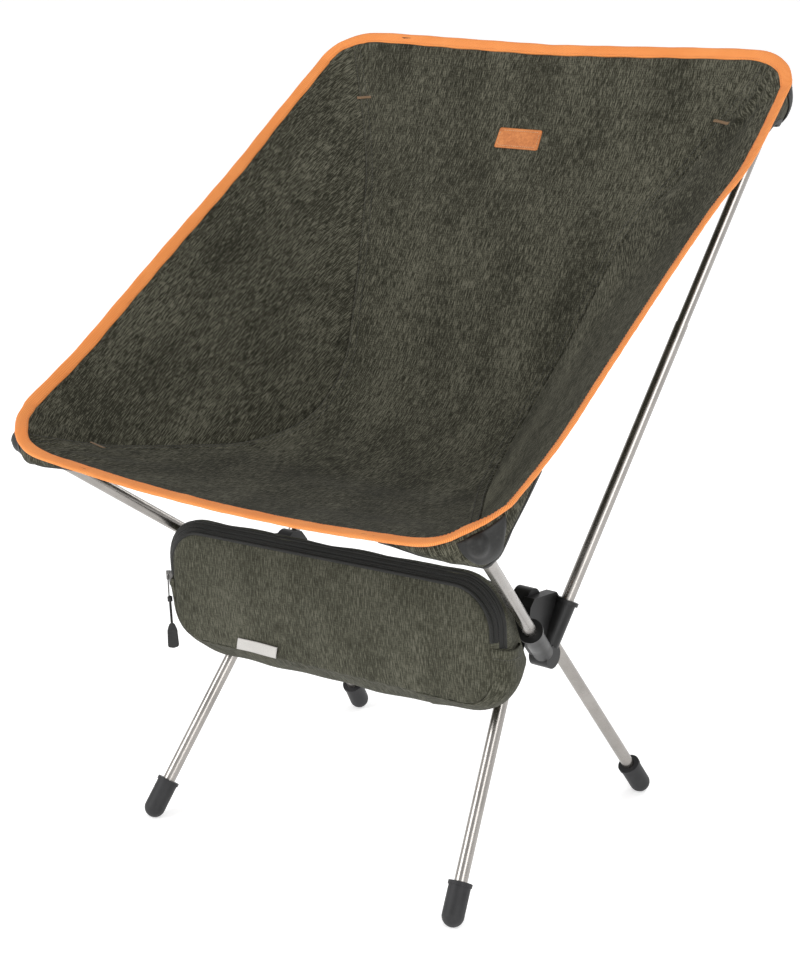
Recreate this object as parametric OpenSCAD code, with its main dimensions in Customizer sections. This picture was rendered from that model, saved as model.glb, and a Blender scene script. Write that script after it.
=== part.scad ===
// Ultralight backpacking chair: pole frame with two hubs, hung sling seat and storage bag.
// The chair faces -Y and stands on z = 0. Left is the sitter's left, +X.

/* [Legs] */
// Half the distance between the two front feet
front_foot_x = 163.5; // [155:1:175]
// How far the front feet stand ahead of the middle
front_foot_y = 163; // [155:1:170]
// Half the distance between the two rear feet
rear_foot_x = 163; // [155:1:175]
// How far the rear feet stand behind the middle
rear_foot_y = 144; // [135:1:153]
// Sideways place of the point where a hub's leg axes cross
leg_apex_x = 127; // [125:0.5:128]
// Height of the point where a hub's leg axes cross
leg_apex_z = 222; // [218:1:226]
// Outer radius of a rubber foot
foot_r = 9.2; // [8:0.1:10]
// Length of a rubber foot along its leg
foot_len = 36; // [30:1:42]

/* [Poles] */
// Outer diameter of the legs, seat poles, lower back poles and crossbar
tube_d = 11; // [10.6:0.1:11.4]
// Outer diameter of the upper back poles
upper_tube_d = 10; // [9.6:0.1:10.4]
// Wall of every tube
tube_wall = 0.9; // [0.7:0.05:1.1]
// Sideways place of the point where a hub's pole axes cross
pole_apex_x = 141; // [140:0.5:143]
// Height of the point where a hub's pole axes cross
pole_apex_z = 172; // [170:1:175]
// Length of the lower section of a back pole, from the crossing
lower_back_len = 300; // [280:1:320]
// Diameter of the shock cord
cord_d = 2.5; // [2:0.1:3]

/* [Hubs] */
// Outer radius of a hub's sockets
socket_r = 8.6; // [8.2:0.1:9]
// Outer radius of the lip at a pole socket's mouth
lip_r = 10.4; // [9.6:0.1:10.8]
// How far a leg reaches into its socket
leg_depth = 34; // [28:1:36]
// Radial clearance of a leg in its socket
leg_clear = 0.05; // [0.02:0.01:0.1]
// Travel of a leg out of its socket
leg_travel = 34; // [25:1:34]

/* [Sling] */
// Thickness of the sling's cloth
cloth = 1.2; // [1:0.1:1.6]
// Width of the edge binding
binding_w = 9; // [7:0.5:10]
// Thickness of the edge binding
binding_t = 3; // [2.4:0.1:3.4]

/* [Bag] */
// Half the width of the bag's front panel
bag_half_w = 176; // [170:1:177]
// Height of the bag's front panel
bag_h = 106; // [100:1:112]
// Depth of the bag
bag_depth = 50; // [40:1:50]
// Radius of the front panel's corners
bag_corner_r = 38; // [30:1:42]
// How much higher the bag hangs at the sitter's left, in degrees
bag_tilt = 2.3; // [0:0.1:2.5]
// Thickness of the bag's walls
bag_wall = 1.8; // [1.5:0.1:2.5]

/* [Hidden] */
$fn = 48;
hull_fn = 32;

tube_r = tube_d / 2;
tube_bore_r = tube_r - tube_wall;
upper_r = upper_tube_d / 2;
upper_bore_r = upper_r - tube_wall;
cord_r = cord_d / 2;

// Crossing points of a hub's axes, and the ends of those axes, on the sitter's left.
leg_apex = [leg_apex_x, -3.5, leg_apex_z];
pole_apex = [pole_apex_x, 6.5, pole_apex_z];
front_foot = [front_foot_x, -front_foot_y, 0];
rear_foot = [rear_foot_x, rear_foot_y, 0];
seat_tip = [228, -221.5, 352];
back_tip = [225, 234.5, 634];
crossbar_at = [0, -1.5, 212];

// Distance from a crossing to the end of each tube, so that two tubes don't meet.
tube_gap = 12;
socket_floor = 3;
pole_socket_len = [74, 50];
bore_len = 70;
crossbar_half = 119;
boss_len = 14;
rivet_r = 2;
cap_r = 6.2;
cap_len = 14;

function unit(v) = v / norm(v);
function toward(a, b, s) = a + unit(b - a) * s;

// Puts a child that is drawn up the Z axis onto the line from a to b.
module along(a, b) {
    d = b - a;
    translate(a)
        rotate([0, acos(d.z / norm(d)), atan2(d.y, d.x)])
            children();
}

module mirrored(left) {
    mirror([left ? 0 : 1, 0, 0]) children();
}

module both() {
    mirrored(true) children();
    mirrored(false) children();
}

module tube(r, bore, from, to) {
    translate([0, 0, from]) difference() {
        cylinder(r = r, h = to - from);
        translate([0, 0, -1]) cylinder(r = bore, h = to - from + 2);
    }
}

// ---- Hubs and crossbar ----

// A plate of the hub, cut from an outline in Y and Z and running from x0 to x1.
module web_plate(outline, x0, x1) {
    translate([x0, 0, 0])
        rotate([90, 0, 90])
            linear_extrude(height = x1 - x0)
                polygon(outline);
}

module hub_shape() {
    start = tube_gap - socket_floor;
    tips = [seat_tip, back_tip];
    feet = [front_foot, rear_foot];
    for (i = [0, 1]) {
        along(pole_apex, tips[i]) {
            translate([0, 0, start]) cylinder(r = socket_r, h = pole_socket_len[i] - start);
            translate([0, 0, pole_socket_len[i] - 3.5]) cylinder(r = lip_r, h = 3.5);
        }
        along(leg_apex, feet[i])
            translate([0, 0, start]) cylinder(r = socket_r, h = tube_gap + leg_depth - start);
    }
    translate([pole_apex_x - 9, pole_apex.y, pole_apex_z])
        rotate([0, 90, 0]) cylinder(r = 10.5, h = 18);
    translate([leg_apex_x - 6.5, leg_apex.y, leg_apex_z])
        rotate([0, 90, 0]) cylinder(r = 10.5, h = 15);
    // Inner plate between the leg sockets, outer plate between the pole sockets.
    web_plate([[-31, 186], [-19, 186], [-7, 202], [1, 202], [13, 186], [23, 186], [5, 226], [-13, 226]], 121, 132);
    web_plate([[2, 166], [12, 166], [29, 214], [21, 224], [-13, 228], [-19, 222], [-23, 196]], 133, 143);
    translate([crossbar_half - boss_len + 3, crossbar_at.y, crossbar_at.z])
        rotate([0, 90, 0]) cylinder(r = 9.5, h = boss_len);
}

module hub() {
    difference() {
        hub_shape();
        for (tip = [seat_tip, back_tip])
            along(pole_apex, tip)
                translate([0, 0, tube_gap]) cylinder(r = tube_r, h = bore_len);
        for (foot = [front_foot, rear_foot])
            along(leg_apex, foot)
                translate([0, 0, tube_gap]) cylinder(r = tube_r + leg_clear, h = bore_len);
        translate([0, crossbar_at.y, crossbar_at.z])
            rotate([0, 90, 0]) cylinder(r = tube_r, h = crossbar_half);
        rivet_holes();
    }
}

module rivet_holes() {
    translate([crossbar_half - 8, crossbar_at.y, crossbar_at.z - 20])
        cylinder(r = rivet_r, h = 40);
}

module hub_left() { color("#1c1c1e") mirrored(true) hub(); }
module hub_right() { color("#1c1c1e") mirrored(false) hub(); }

module crossbar() {
    color("#8c8a86") difference() {
        translate([0, crossbar_at.y, crossbar_at.z])
            rotate([0, 90, 0]) tube(tube_r, tube_bore_r, -crossbar_half, crossbar_half);
        both() rivet_holes();
    }
}

module crossbar_rivets() {
    color("silver") both()
        translate([crossbar_half - 8, crossbar_at.y, crossbar_at.z]) {
            translate([0, 0, -10.5]) cylinder(r = rivet_r, h = 21);
            for (s = [-1, 1])
                translate([0, 0, s * 10.2 - 0.7]) cylinder(r = 3.6, h = 1.4);
        }
}

// ---- Legs ----

function foot_of(front) = front ? front_foot : rear_foot;
function leg_len(front) = norm(foot_of(front) - leg_apex);
// The foot's ball stands on the floor with a small worn flat.
function ball_at(front) = leg_len(front) * (1 - (foot_r - 0.6) / leg_apex_z);

module leg_tube(front) {
    along(leg_apex, foot_of(front))
        tube(tube_r, tube_bore_r, tube_gap, ball_at(front) - 2);
}

module leg_foot(front) {
    ball = ball_at(front);
    mouth = ball - foot_len + foot_r;
    difference() {
        along(leg_apex, foot_of(front)) {
            translate([0, 0, ball]) sphere(r = foot_r);
            translate([0, 0, mouth]) cylinder(r = foot_r, h = foot_len - foot_r);
            translate([0, 0, mouth]) cylinder(r = foot_r + 0.8, h = 3);
        }
        along(leg_apex, foot_of(front))
            translate([0, 0, mouth - 1]) cylinder(r = tube_r, h = ball - 2 - mouth + 1);
        translate([0, 0, -20]) cube([600, 600, 40], center = true);
    }
}

module leg_plug(front) {
    along(leg_apex, foot_of(front))
        tube(tube_bore_r, cord_r, ball_at(front) - 16, ball_at(front) - 8);
}

// Shock cord from its knot under the plug up to the mouth of the leg.
module leg_cord(front) {
    along(leg_apex, foot_of(front)) {
        translate([0, 0, tube_gap + 1]) cylinder(r = cord_r, h = ball_at(front) - 8 - tube_gap);
        translate([0, 0, ball_at(front) - 5]) sphere(r = 2.9);
    }
}

module leg_front_left() { color("#8c8a86") mirrored(true) leg_tube(true); }
module leg_front_right() { color("#8c8a86") mirrored(false) leg_tube(true); }
module leg_rear_left() { color("#8c8a86") mirrored(true) leg_tube(false); }
module leg_rear_right() { color("#8c8a86") mirrored(false) leg_tube(false); }
module foot_front_left() { color("#2a2a2c") mirrored(true) leg_foot(true); }
module foot_front_right() { color("#2a2a2c") mirrored(false) leg_foot(true); }
module foot_rear_left() { color("#2a2a2c") mirrored(true) leg_foot(false); }
module foot_rear_right() { color("#2a2a2c") mirrored(false) leg_foot(false); }
module plug_front_left() { color("dimgray") mirrored(true) leg_plug(true); }
module plug_front_right() { color("dimgray") mirrored(false) leg_plug(true); }
module plug_rear_left() { color("dimgray") mirrored(true) leg_plug(false); }
module plug_rear_right() { color("dimgray") mirrored(false) leg_plug(false); }
module cord_front_left() { color("orange") mirrored(true) leg_cord(true); }
module cord_front_right() { color("orange") mirrored(false) leg_cord(true); }
module cord_rear_left() { color("orange") mirrored(true) leg_cord(false); }
module cord_rear_right() { color("orange") mirrored(false) leg_cord(false); }

// ---- Poles ----

seat_len = norm(seat_tip - pole_apex);
back_len = norm(back_tip - pole_apex);
ferrule_len = 30;

module seat_pole() {
    along(pole_apex, seat_tip) tube(tube_r, tube_bore_r, tube_gap, seat_len - cap_r);
}
module back_pole_lower() {
    along(pole_apex, back_tip) tube(tube_r, tube_bore_r, tube_gap, lower_back_len);
}
module back_pole_upper() {
    along(pole_apex, back_tip) tube(upper_r, upper_bore_r, lower_back_len, back_len - cap_r);
}
module seat_pole_left() { color("#8c8a86") mirrored(true) seat_pole(); }
module seat_pole_right() { color("#8c8a86") mirrored(false) seat_pole(); }
module back_pole_lower_left() { color("#8c8a86") mirrored(true) back_pole_lower(); }
module back_pole_lower_right() { color("#8c8a86") mirrored(false) back_pole_lower(); }
module back_pole_upper_left() { color("#8c8a86") mirrored(true) back_pole_upper(); }
module back_pole_upper_right() { color("#8c8a86") mirrored(false) back_pole_upper(); }

// Stepped inserts that join a back pole's two sections, hollow for the cord.
module back_pole_ferrules() {
    color("silver") both() along(pole_apex, back_tip) difference() {
        union() {
            translate([0, 0, lower_back_len - ferrule_len]) cylinder(r = tube_bore_r, h = ferrule_len);
            translate([0, 0, lower_back_len]) cylinder(r = upper_bore_r, h = ferrule_len);
        }
        translate([0, 0, lower_back_len - ferrule_len - 1]) cylinder(r = cord_r + 0.6, h = 2 * ferrule_len + 2);
    }
}

// A cap that closes a pole's tip: a domed sleeve around the tube.
module cap(len, r) {
    difference() {
        union() {
            translate([0, 0, len - cap_len]) cylinder(r = cap_r, h = cap_len - cap_r);
            translate([0, 0, len - cap_r]) sphere(r = cap_r);
        }
        translate([0, 0, len - cap_len - 1]) cylinder(r = r, h = cap_len - cap_r + 1);
    }
}
module seat_pole_caps() { color("#1c1c1e") both() along(pole_apex, seat_tip) cap(seat_len, tube_r); }
module back_pole_caps() { color("#1c1c1e") both() along(pole_apex, back_tip) cap(back_len, upper_r); }

module pole_cord(len) {
    translate([0, 0, tube_gap + 1]) cylinder(r = cord_r, h = len - cap_r - tube_gap - 1);
}
module seat_pole_cords() { color("orange") both() along(pole_apex, seat_tip) pole_cord(seat_len); }
module back_pole_cords() { color("orange") both() along(pole_apex, back_tip) pole_cord(back_len); }

// ---- Sling ----

// Seam between centre and side panel, from the front corner over the seat to the back corner.
seam = [[222, -236.5, 359], [192, -168.5, 342], [155, -106.5, 332], [124, -53.5, 329], [104, 1.5, 343],
    [104, 49.5, 380], [118, 84.5, 431], [140, 129.5, 508], [172, 173.5, 561], [228, 226.5, 649]];
// Outer edge of the side panel, between the same corners.
rim = [[222, -236.5, 359], [242.5, -199.5, 375.5], [243.5, -138.5, 408.5], [243.5, -78.5, 446.5], [243.5, -18.5, 484.5],
    [243.5, 31.5, 515.5], [244.5, 81.5, 546.5], [246.5, 131.5, 577.5], [245, 199.5, 625], [228, 226.5, 649]];
// Sag of the centre line below the seams: front edge, seat, back, top edge.
sag = [[0, 2, -20], [0, 0, -14], [0, 0, -10], [0, 0, -10], [0, 5, -9],
    [0, 8, -6], [0, 8, -4], [0, 7, -3], [0, 5, 0], [0, 4, 3.5]];
last = len(seam) - 1;

// Catmull-Rom curve through the points p, with q from 0 to the last index.
function curve(p, q) =
    let (n = len(p) - 1, i = min(floor(q), n - 1), f = q - i,
        a = p[max(i - 1, 0)], b = p[i], c = p[i + 1], d = p[min(i + 2, n)])
    0.5 * (2 * b + (c - a) * f + (2 * a - 5 * b + 4 * c - d) * f * f + (3 * b - a - 3 * c + d) * f * f * f);

// A point of the centre panel: u runs from -1 at the right seam to 1 at the left one.
function centre_at(q, u) =
    let (s = curve(seam, q))
    [s.x * u, s.y, s.z] + (1 - u * u) * curve(sag, q);
// A point of the left side panel: w runs from 0 at the seam to 1 at the edge.
function side_at(q, w) = curve(seam, q) * (1 - w) + curve(rim, q) * w;
// The way the cloth's thickness points, the same across the whole sling at q.
function cloth_way(q) =
    let (d = curve(seam, min(q + 0.1, last)) - curve(seam, max(q - 0.1, 0)))
    unit([0, -d.z, d.y]);

// A closed thin solid around a grid of points. mid[i][j] is a point, way[i] its thickness direction.
module thin_sheet(mid, way, t) {
    ni = len(mid);
    nj = len(mid[0]);
    top = [for (i = [0 : ni - 1], j = [0 : nj - 1]) mid[i][j] + way[i] * t / 2];
    low = [for (i = [0 : ni - 1], j = [0 : nj - 1]) mid[i][j] - way[i] * t / 2];
    n = ni * nj;
    function at(i, j) = i * nj + j;
    quads = [for (i = [0 : ni - 2], j = [0 : nj - 2]) [at(i, j), at(i, j + 1), at(i + 1, j + 1), at(i + 1, j)]];
    ring = concat(
        [for (j = [0 : nj - 2]) at(0, j)],
        [for (i = [0 : ni - 2]) at(i, nj - 1)],
        [for (j = [nj - 1 : -1 : 1]) at(ni - 1, j)],
        [for (i = [ni - 1 : -1 : 1]) at(i, 0)]);
    m = len(ring);
    faces = concat(
        [for (q = quads) each [[q[0], q[1], q[2]], [q[0], q[2], q[3]]]],
        [for (q = quads) each [[q[2] + n, q[1] + n, q[0] + n], [q[3] + n, q[2] + n, q[0] + n]]],
        [for (k = [0 : m - 1]) let (a = ring[k], b = ring[(k + 1) % m])
            each [[a, a + n, b + n], [a, b + n, b]]]);
    polyhedron(points = concat(top, low), faces = faces);
}

sling_rows = 36;
row_qs = [for (i = [0 : sling_rows]) last * i / sling_rows];
centre_cols = 10;
side_cols = 4;

module sling_centre() {
    color("#4b4c42") thin_sheet(
        [for (q = row_qs) [for (j = [0 : centre_cols]) centre_at(q, 2 * j / centre_cols - 1)]],
        [for (q = row_qs) cloth_way(q)], cloth);
}
// The side panels leave out the first and last row, where they would have no width.
module sling_side() {
    qs = [for (i = [1 : sling_rows - 1]) row_qs[i]];
    thin_sheet(
        [for (q = qs) [for (j = [0 : side_cols]) side_at(q, j / side_cols)]],
        [for (q = qs) cloth_way(q)], cloth);
}
module sling_side_left() { color("#4b4c42") mirrored(true) sling_side(); }
module sling_side_right() { color("#4b4c42") mirrored(false) sling_side(); }

// The binding follows the whole edge. Each ring leans toward the cloth that it wraps.
edge_cols = 12;
side_steps = 30;
left_edge = [for (i = [0 : side_steps]) let (q = last * i / side_steps)
    [curve(rim, q), curve(seam, min(max(q, 2), 7))]];
top_edge = [for (j = [1 : 2 * edge_cols - 1]) let (u = 1 - j / edge_cols)
    [centre_at(last, u), centre_at(7, u)]];
front_edge = [for (j = [1 : 2 * edge_cols - 1]) let (u = -1 + j / edge_cols)
    [centre_at(0, u), centre_at(2, u)]];
function flip_x(p) = [-p.x, p.y, p.z];
right_edge = [for (i = [side_steps : -1 : 0]) [flip_x(left_edge[i][0]), flip_x(left_edge[i][1])]];
edge_path = concat(left_edge, top_edge, right_edge, front_edge);

module edge_binding() {
    m = len(edge_path);
    sides = 8;
    points = [for (k = [0 : m - 1])
        let (p = edge_path[k][0],
            tangent = unit(edge_path[(k + 1) % m][0] - edge_path[(k - 1 + m) % m][0]),
            lean = edge_path[k][1] - p,
            inward = unit(lean - tangent * (lean * tangent)),
            up = cross(tangent, inward))
        for (s = [0 : sides - 1])
            p + inward * (cos(360 * s / sides) * binding_w / 2 + 1) + up * sin(360 * s / sides) * binding_t / 2];
    faces = [for (k = [0 : m - 1], s = [0 : sides - 1])
        let (a = k * sides + s, b = k * sides + (s + 1) % sides,
            c = ((k + 1) % m) * sides + (s + 1) % sides, d = ((k + 1) % m) * sides + s)
        each [[a, c, b], [a, d, c]]];
    color("#f07d2d") polyhedron(points = points, faces = faces);
}

// A corner pocket: cloth from the mouth round the pole to the sling's corner.
pocket_len = 42;
module pocket(tip, mouth_r, corners) {
    difference() {
        hull() {
            along(pole_apex, tip)
                translate([0, 0, norm(tip - pole_apex) - pocket_len]) cylinder(r = mouth_r, h = 4, $fn = hull_fn);
            for (c = corners)
                translate(c) sphere(r = 2, $fn = 16);
        }
        along(pole_apex, tip) {
            translate([0, 0, norm(tip - pole_apex) - pocket_len - 5]) cylinder(r = cap_r, h = pocket_len + 5 - cap_r);
            translate([0, 0, norm(tip - pole_apex) - cap_r]) sphere(r = cap_r);
        }
    }
}
// Points under the cloth that a pocket spreads to, deep enough that the pocket clears the valley at the seam.
side_drop = 13;
centre_drop = 5;
function under_side(q, w) = side_at(q, w) - cloth_way(q) * side_drop;
function under_centre(q, u) = centre_at(q, u) - cloth_way(q) * centre_drop;
front_pocket_corners = [under_side(0.6, 0.4), under_side(0.9, 0.5), under_centre(0.25, 0.93), under_centre(0.6, 0.84),
    seat_tip + [0, -4, -4]];
back_pocket_corners = [under_side(8.5, 0.4), under_side(8.2, 0.5), under_centre(8.75, 0.93), under_centre(8.5, 0.84),
    back_tip + [0, 3, -6]];
module front_pocket() { pocket(seat_tip, 8.5, front_pocket_corners); }
module back_pocket() { pocket(back_tip, 8.5, back_pocket_corners); }
module pocket_front_left() { color("#232323") mirrored(true) front_pocket(); }
module pocket_front_right() { color("#232323") mirrored(false) front_pocket(); }
module pocket_back_left() { color("#232323") mirrored(true) back_pocket(); }
module pocket_back_right() { color("#232323") mirrored(false) back_pocket(); }

// Label on the front of the back, near the top.
label_size = [46, 18, 1.4];
label_q = 8.13;
label_x = -6;
// The flat label's ends touch the hollow cloth, so its middle stands off a little.
label_lift = 0.7;
module label_patch() {
    at = centre_at(label_q, 0);
    way = cloth_way(label_q);
    color("#c46e30")
        translate(at + way * (cloth / 2 + label_lift + label_size.z / 2) + [label_x, 0, 0])
            rotate([90 - atan2(way.z, -way.y), 0, 0])
                cube([label_size.x, label_size.y, label_size.z], center = true);
}

// ---- Storage bag ----

bag_front_y = -113.5;
bag_low_z = 166;
zip_low_z = 222;

// The bag is drawn level and then hung a little askew.
module hung() {
    translate([0, 0, zip_low_z]) rotate([0, -bag_tilt, 0]) translate([0, 0, -zip_low_z]) children();
}

// A slice of the bag at depth y: an upright rounded outline with its own half width below and above.
module bag_slice(y, half_low, half_high, low, high, r, t) {
    translate([0, y + t, 0]) rotate([90, 0, 0]) linear_extrude(height = t) hull()
        for (s = [-1, 1]) {
            translate([s * (half_low - r), low + r]) circle(r = r, $fn = hull_fn);
            translate([s * (half_high - r), high - r]) circle(r = r, $fn = hull_fn);
        }
}

// The bag's outer form grown by g. The front edge is bevelled for the zip, the bottom bulges,
// and the upper part narrows toward the back, where it lies between the poles.
zip_bevel = 9;
module bag_form(g) {
    top = bag_low_z + bag_h - 10;
    slices = [[-g, bag_half_w - zip_bevel, bag_half_w - zip_bevel, bag_low_z, top, bag_corner_r],
        [zip_bevel, bag_half_w, bag_half_w, bag_low_z - 8, top + 9, bag_corner_r + 4],
        [0.5 * bag_depth, bag_half_w, bag_half_w - 7, bag_low_z - 20, top + 6, bag_corner_r - 2],
        [bag_depth + g - slice_t, bag_half_w - 9, bag_half_w - 21, bag_low_z - 10, top - 4, bag_corner_r - 12]];
    hull()
        for (c = slices)
            bag_slice(bag_front_y + c[0], c[1] + g, c[2] + g, c[3] - g, c[4] + g, c[5] + g, slice_t);
}
slice_t = 0.5;

// Everything in front of depth d and above the zip's low end, raised by lift.
module front_space(d, lift) {
    translate([-300, bag_front_y - 50, zip_low_z + lift]) cube([600, 50 + d, 200]);
}

zip_depth = zip_bevel / 2;
tape_t = 1.1;
flap_gap = 0.3;
module bag_shell() {
    color("#55564b") hung() difference() {
        bag_form(0);
        bag_form(-bag_wall);
        front_space(zip_depth, 0);
    }
}

// The door: the front above the zip's ends, with the front half of the bevel.
module bag_flap() {
    color("#55564b") hung() intersection() {
        difference() {
            bag_form(0);
            bag_form(-bag_wall);
        }
        front_space(zip_depth - flap_gap, flap_gap);
    }
}

// Half of the zip tape is sewn to the bag, half to the flap.
module tape_band(lift, from_d, to_d) {
    difference() {
        intersection() {
            bag_form(tape_t);
            front_space(to_d, lift);
        }
        bag_form(0);
        front_space(from_d, -1);
    }
}
module zip_tape_fixed() { color("#202020") hung() tape_band(0, zip_depth, 2 * zip_depth); }
module zip_tape_flap() { color("#202020") hung() tape_band(flap_gap, 0.6, zip_depth - flap_gap); }

// The slider at the zip's low end on the sitter's right, seen along the bevel's outward way, -Y.
slider_z = 219;
pin_out = 5.6;
puller_r = 1.1;
module at_slider() {
    hung() translate([zip_depth - bag_half_w, bag_front_y + zip_depth, slider_z])
        rotate([0, 0, -45]) children();
}
module zip_slider() {
    color("#303030") at_slider() {
        translate([0, -2.9, -1.25]) cube([6, 2.4, 8.5], center = true);
        difference() {
            translate([0, -5.4, 0]) cube([2.2, 3.6, 8], center = true);
            translate([-3, -pin_out, 0]) rotate([0, 90, 0]) cylinder(r = puller_r + 0.05, h = 6);
        }
    }
}

// Ring, cord loop and pull tab, hanging from the slider's bridge.
module zip_puller() {
    color("#101010") at_slider() translate([0, -pin_out, 0]) {
        rotate([0, 90, 0]) translate([0, 0, -2.1]) cylinder(r = puller_r, h = 4.2);
        for (s = [-1, 1])
            translate([s * 1.8 - 0.4, -0.9, -22]) cube([0.8, 1.8, 22.6]);
        translate([-2.2, -1.3, -24]) cube([4.4, 2.6, 3]);
        translate([0, 0, -46]) cylinder(r = 1.1, h = 24);
        translate([-4, -1.5, -68]) cube([8, 3, 23]);
    }
}

// Patches that wrap the bag's ends below the zip, their top edge falling toward the back.
patch_t = 1.3;
module bag_end_patch(left) {
    hung() mirrored(left) difference() {
        intersection() {
            bag_form(patch_t);
            translate([bag_half_w - 16, bag_front_y + 2, 100]) cube([60, 200, 200]);
        }
        bag_form(0);
        translate([0, bag_front_y, zip_low_z - 5]) rotate([-14, 0, 0]) translate([-300, -50, 0]) cube([600, 300, 200]);
    }
}
module bag_end_patch_left() { color("#55564b") bag_end_patch(true); }
module bag_end_patch_right() { color("#55564b") bag_end_patch(false); }

module bag_tag() {
    color("#b9b4ac") hung() translate([-72, bag_front_y - 0.6, bag_low_z + 7]) cube([44, 1.2, 12], center = true);
}

// Hanging loops round the crossbar, each with a strap to the bag's back.
loop_x = 90;
loop_w = 24;
module bag_loop(left) {
    mirrored(left) difference() {
        union() {
            translate([loop_x - loop_w / 2, crossbar_at.y, crossbar_at.z])
                rotate([0, 90, 0]) cylinder(r = tube_r + 2.3, h = loop_w);
            translate([loop_x - loop_w / 2, bag_front_y + bag_depth - 1, crossbar_at.z - 2.4])
                cube([loop_w, crossbar_at.y - bag_front_y - bag_depth + 1, 2]);
        }
        translate([loop_x - loop_w, crossbar_at.y, crossbar_at.z])
            rotate([0, 90, 0]) cylinder(r = tube_r, h = 2 * loop_w);
    }
}
module bag_loop_left() { color("#55564b") bag_loop(true); }
module bag_loop_right() { color("#55564b") bag_loop(false); }

hub_left();
hub_right();
crossbar();
crossbar_rivets();
leg_front_left();
leg_front_right();
leg_rear_left();
leg_rear_right();
foot_front_left();
foot_front_right();
foot_rear_left();
foot_rear_right();
plug_front_left();
plug_front_right();
plug_rear_left();
plug_rear_right();
cord_front_left();
cord_front_right();
cord_rear_left();
cord_rear_right();
seat_pole_left();
seat_pole_right();
back_pole_lower_left();
back_pole_lower_right();
back_pole_upper_left();
back_pole_upper_right();
back_pole_ferrules();
seat_pole_caps();
back_pole_caps();
seat_pole_cords();
back_pole_cords();
sling_centre();
sling_side_left();
sling_side_right();
edge_binding();
pocket_front_left();
pocket_front_right();
pocket_back_left();
pocket_back_right();
label_patch();
bag_shell();
bag_flap();
zip_tape_fixed();
zip_tape_flap();
zip_slider();
zip_puller();
bag_end_patch_left();
bag_end_patch_right();
bag_tag();
bag_loop_left();
bag_loop_right();
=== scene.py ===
"""Looks for the ultralight backpacking chair: sling, orange binding, corner pockets, tubes and bag.

Lengths are metres in the part's frame: the chair faces -Y, +X is the sitter's left, the floor is z = 0.
"""

import math

import bmesh
import bpy
import numpy as np
from mathutils import Matrix, Vector


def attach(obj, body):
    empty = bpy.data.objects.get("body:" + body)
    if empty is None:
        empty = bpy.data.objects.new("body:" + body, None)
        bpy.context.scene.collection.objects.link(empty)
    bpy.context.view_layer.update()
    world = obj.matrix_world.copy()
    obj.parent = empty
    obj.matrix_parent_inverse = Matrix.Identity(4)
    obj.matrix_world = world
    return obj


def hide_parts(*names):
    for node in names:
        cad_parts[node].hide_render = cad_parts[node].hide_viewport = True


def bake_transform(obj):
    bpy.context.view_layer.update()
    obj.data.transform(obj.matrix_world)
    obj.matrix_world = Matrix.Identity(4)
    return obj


MM = 0.001
FLIP = np.array([-1.0, 1.0, 1.0])
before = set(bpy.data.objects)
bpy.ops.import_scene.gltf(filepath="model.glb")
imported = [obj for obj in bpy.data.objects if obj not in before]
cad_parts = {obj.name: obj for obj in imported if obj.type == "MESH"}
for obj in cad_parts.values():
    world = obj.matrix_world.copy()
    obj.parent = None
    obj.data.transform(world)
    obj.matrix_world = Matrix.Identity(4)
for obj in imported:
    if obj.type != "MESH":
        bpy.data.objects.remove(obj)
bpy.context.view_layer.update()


# ---- Small tools ----

def unit(v):
    """Vectors of length one along the last axis."""
    v = np.asarray(v, float)
    return v / np.maximum(np.linalg.norm(v, axis=-1, keepdims=True), 1e-12)


def smoothstep(x):
    """0 below 0, 1 above 1, smooth between."""
    x = np.clip(x, 0.0, 1.0)
    return x * x * (3 - 2 * x)


def mesh_piece(name, verts, faces, material, uvs=None, body="frame"):
    """A mesh object that rides on a body. uvs has one pair for each vertex and fills the map named cloth."""
    mesh = bpy.data.meshes.new(name)
    mesh.from_pydata([tuple(v) for v in verts], [], [tuple(f) for f in faces])
    if uvs is not None:
        layer = mesh.uv_layers.new(name="cloth")
        corner_vertex = np.empty(len(mesh.loops), dtype=np.int32)
        mesh.loops.foreach_get("vertex_index", corner_vertex)
        layer.data.foreach_set("uv", np.asarray(uvs, np.float32)[corner_vertex].ravel())
    mesh.polygons.foreach_set("use_smooth", [True] * len(mesh.polygons))
    mesh.materials.append(material)
    mesh.update()
    piece = bpy.data.objects.new(name, mesh)
    bpy.context.scene.collection.objects.link(piece)
    if body:
        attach(piece, body)
    return piece


def grid_faces(rows, cols, close_cols=False, close_rows=False):
    """Quads of a grid of rows x cols vertices, wrapped round where asked."""
    row_count = rows if close_rows else rows - 1
    col_count = cols if close_cols else cols - 1
    faces = []
    for i in range(row_count):
        for j in range(col_count):
            below, right = (i + 1) % rows, (j + 1) % cols
            faces.append((i * cols + j, i * cols + right, below * cols + right, below * cols + j))
    return faces


def capped_faces(rows, cols):
    """Faces of a tube of rings with a cap at each end."""
    faces = grid_faces(rows, cols, close_cols=True)
    faces.append(tuple(reversed(range(cols))))
    faces.append(tuple(range((rows - 1) * cols, rows * cols)))
    return faces


def solidify(piece, thickness, offset=0.0):
    """Gives a sheet its thickness, half on each side unless offset says otherwise."""
    layer = piece.modifiers.new("thickness", "SOLIDIFY")
    layer.thickness = thickness
    layer.offset = offset
    layer.use_even_offset = True


def arc_lengths(points):
    """Distance along a line of points."""
    steps = np.linalg.norm(np.diff(points, axis=0), axis=1)
    return np.concatenate([[0], np.cumsum(steps)])


def read_along(values, length, at):
    """Rows of values, which belong to the given lengths, read off at other lengths."""
    return np.stack([np.interp(at, length, values[:, k]) for k in range(3)], -1)


def even(points, count):
    """The line of points resampled to an even spacing."""
    length = arc_lengths(points)
    return read_along(points, length, np.linspace(0, length[-1], count))


def facing(normals, way):
    """The normals, each turned to the side that looks the given way."""
    return normals * np.sign((normals * way).sum(-1, keepdims=True))


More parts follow.
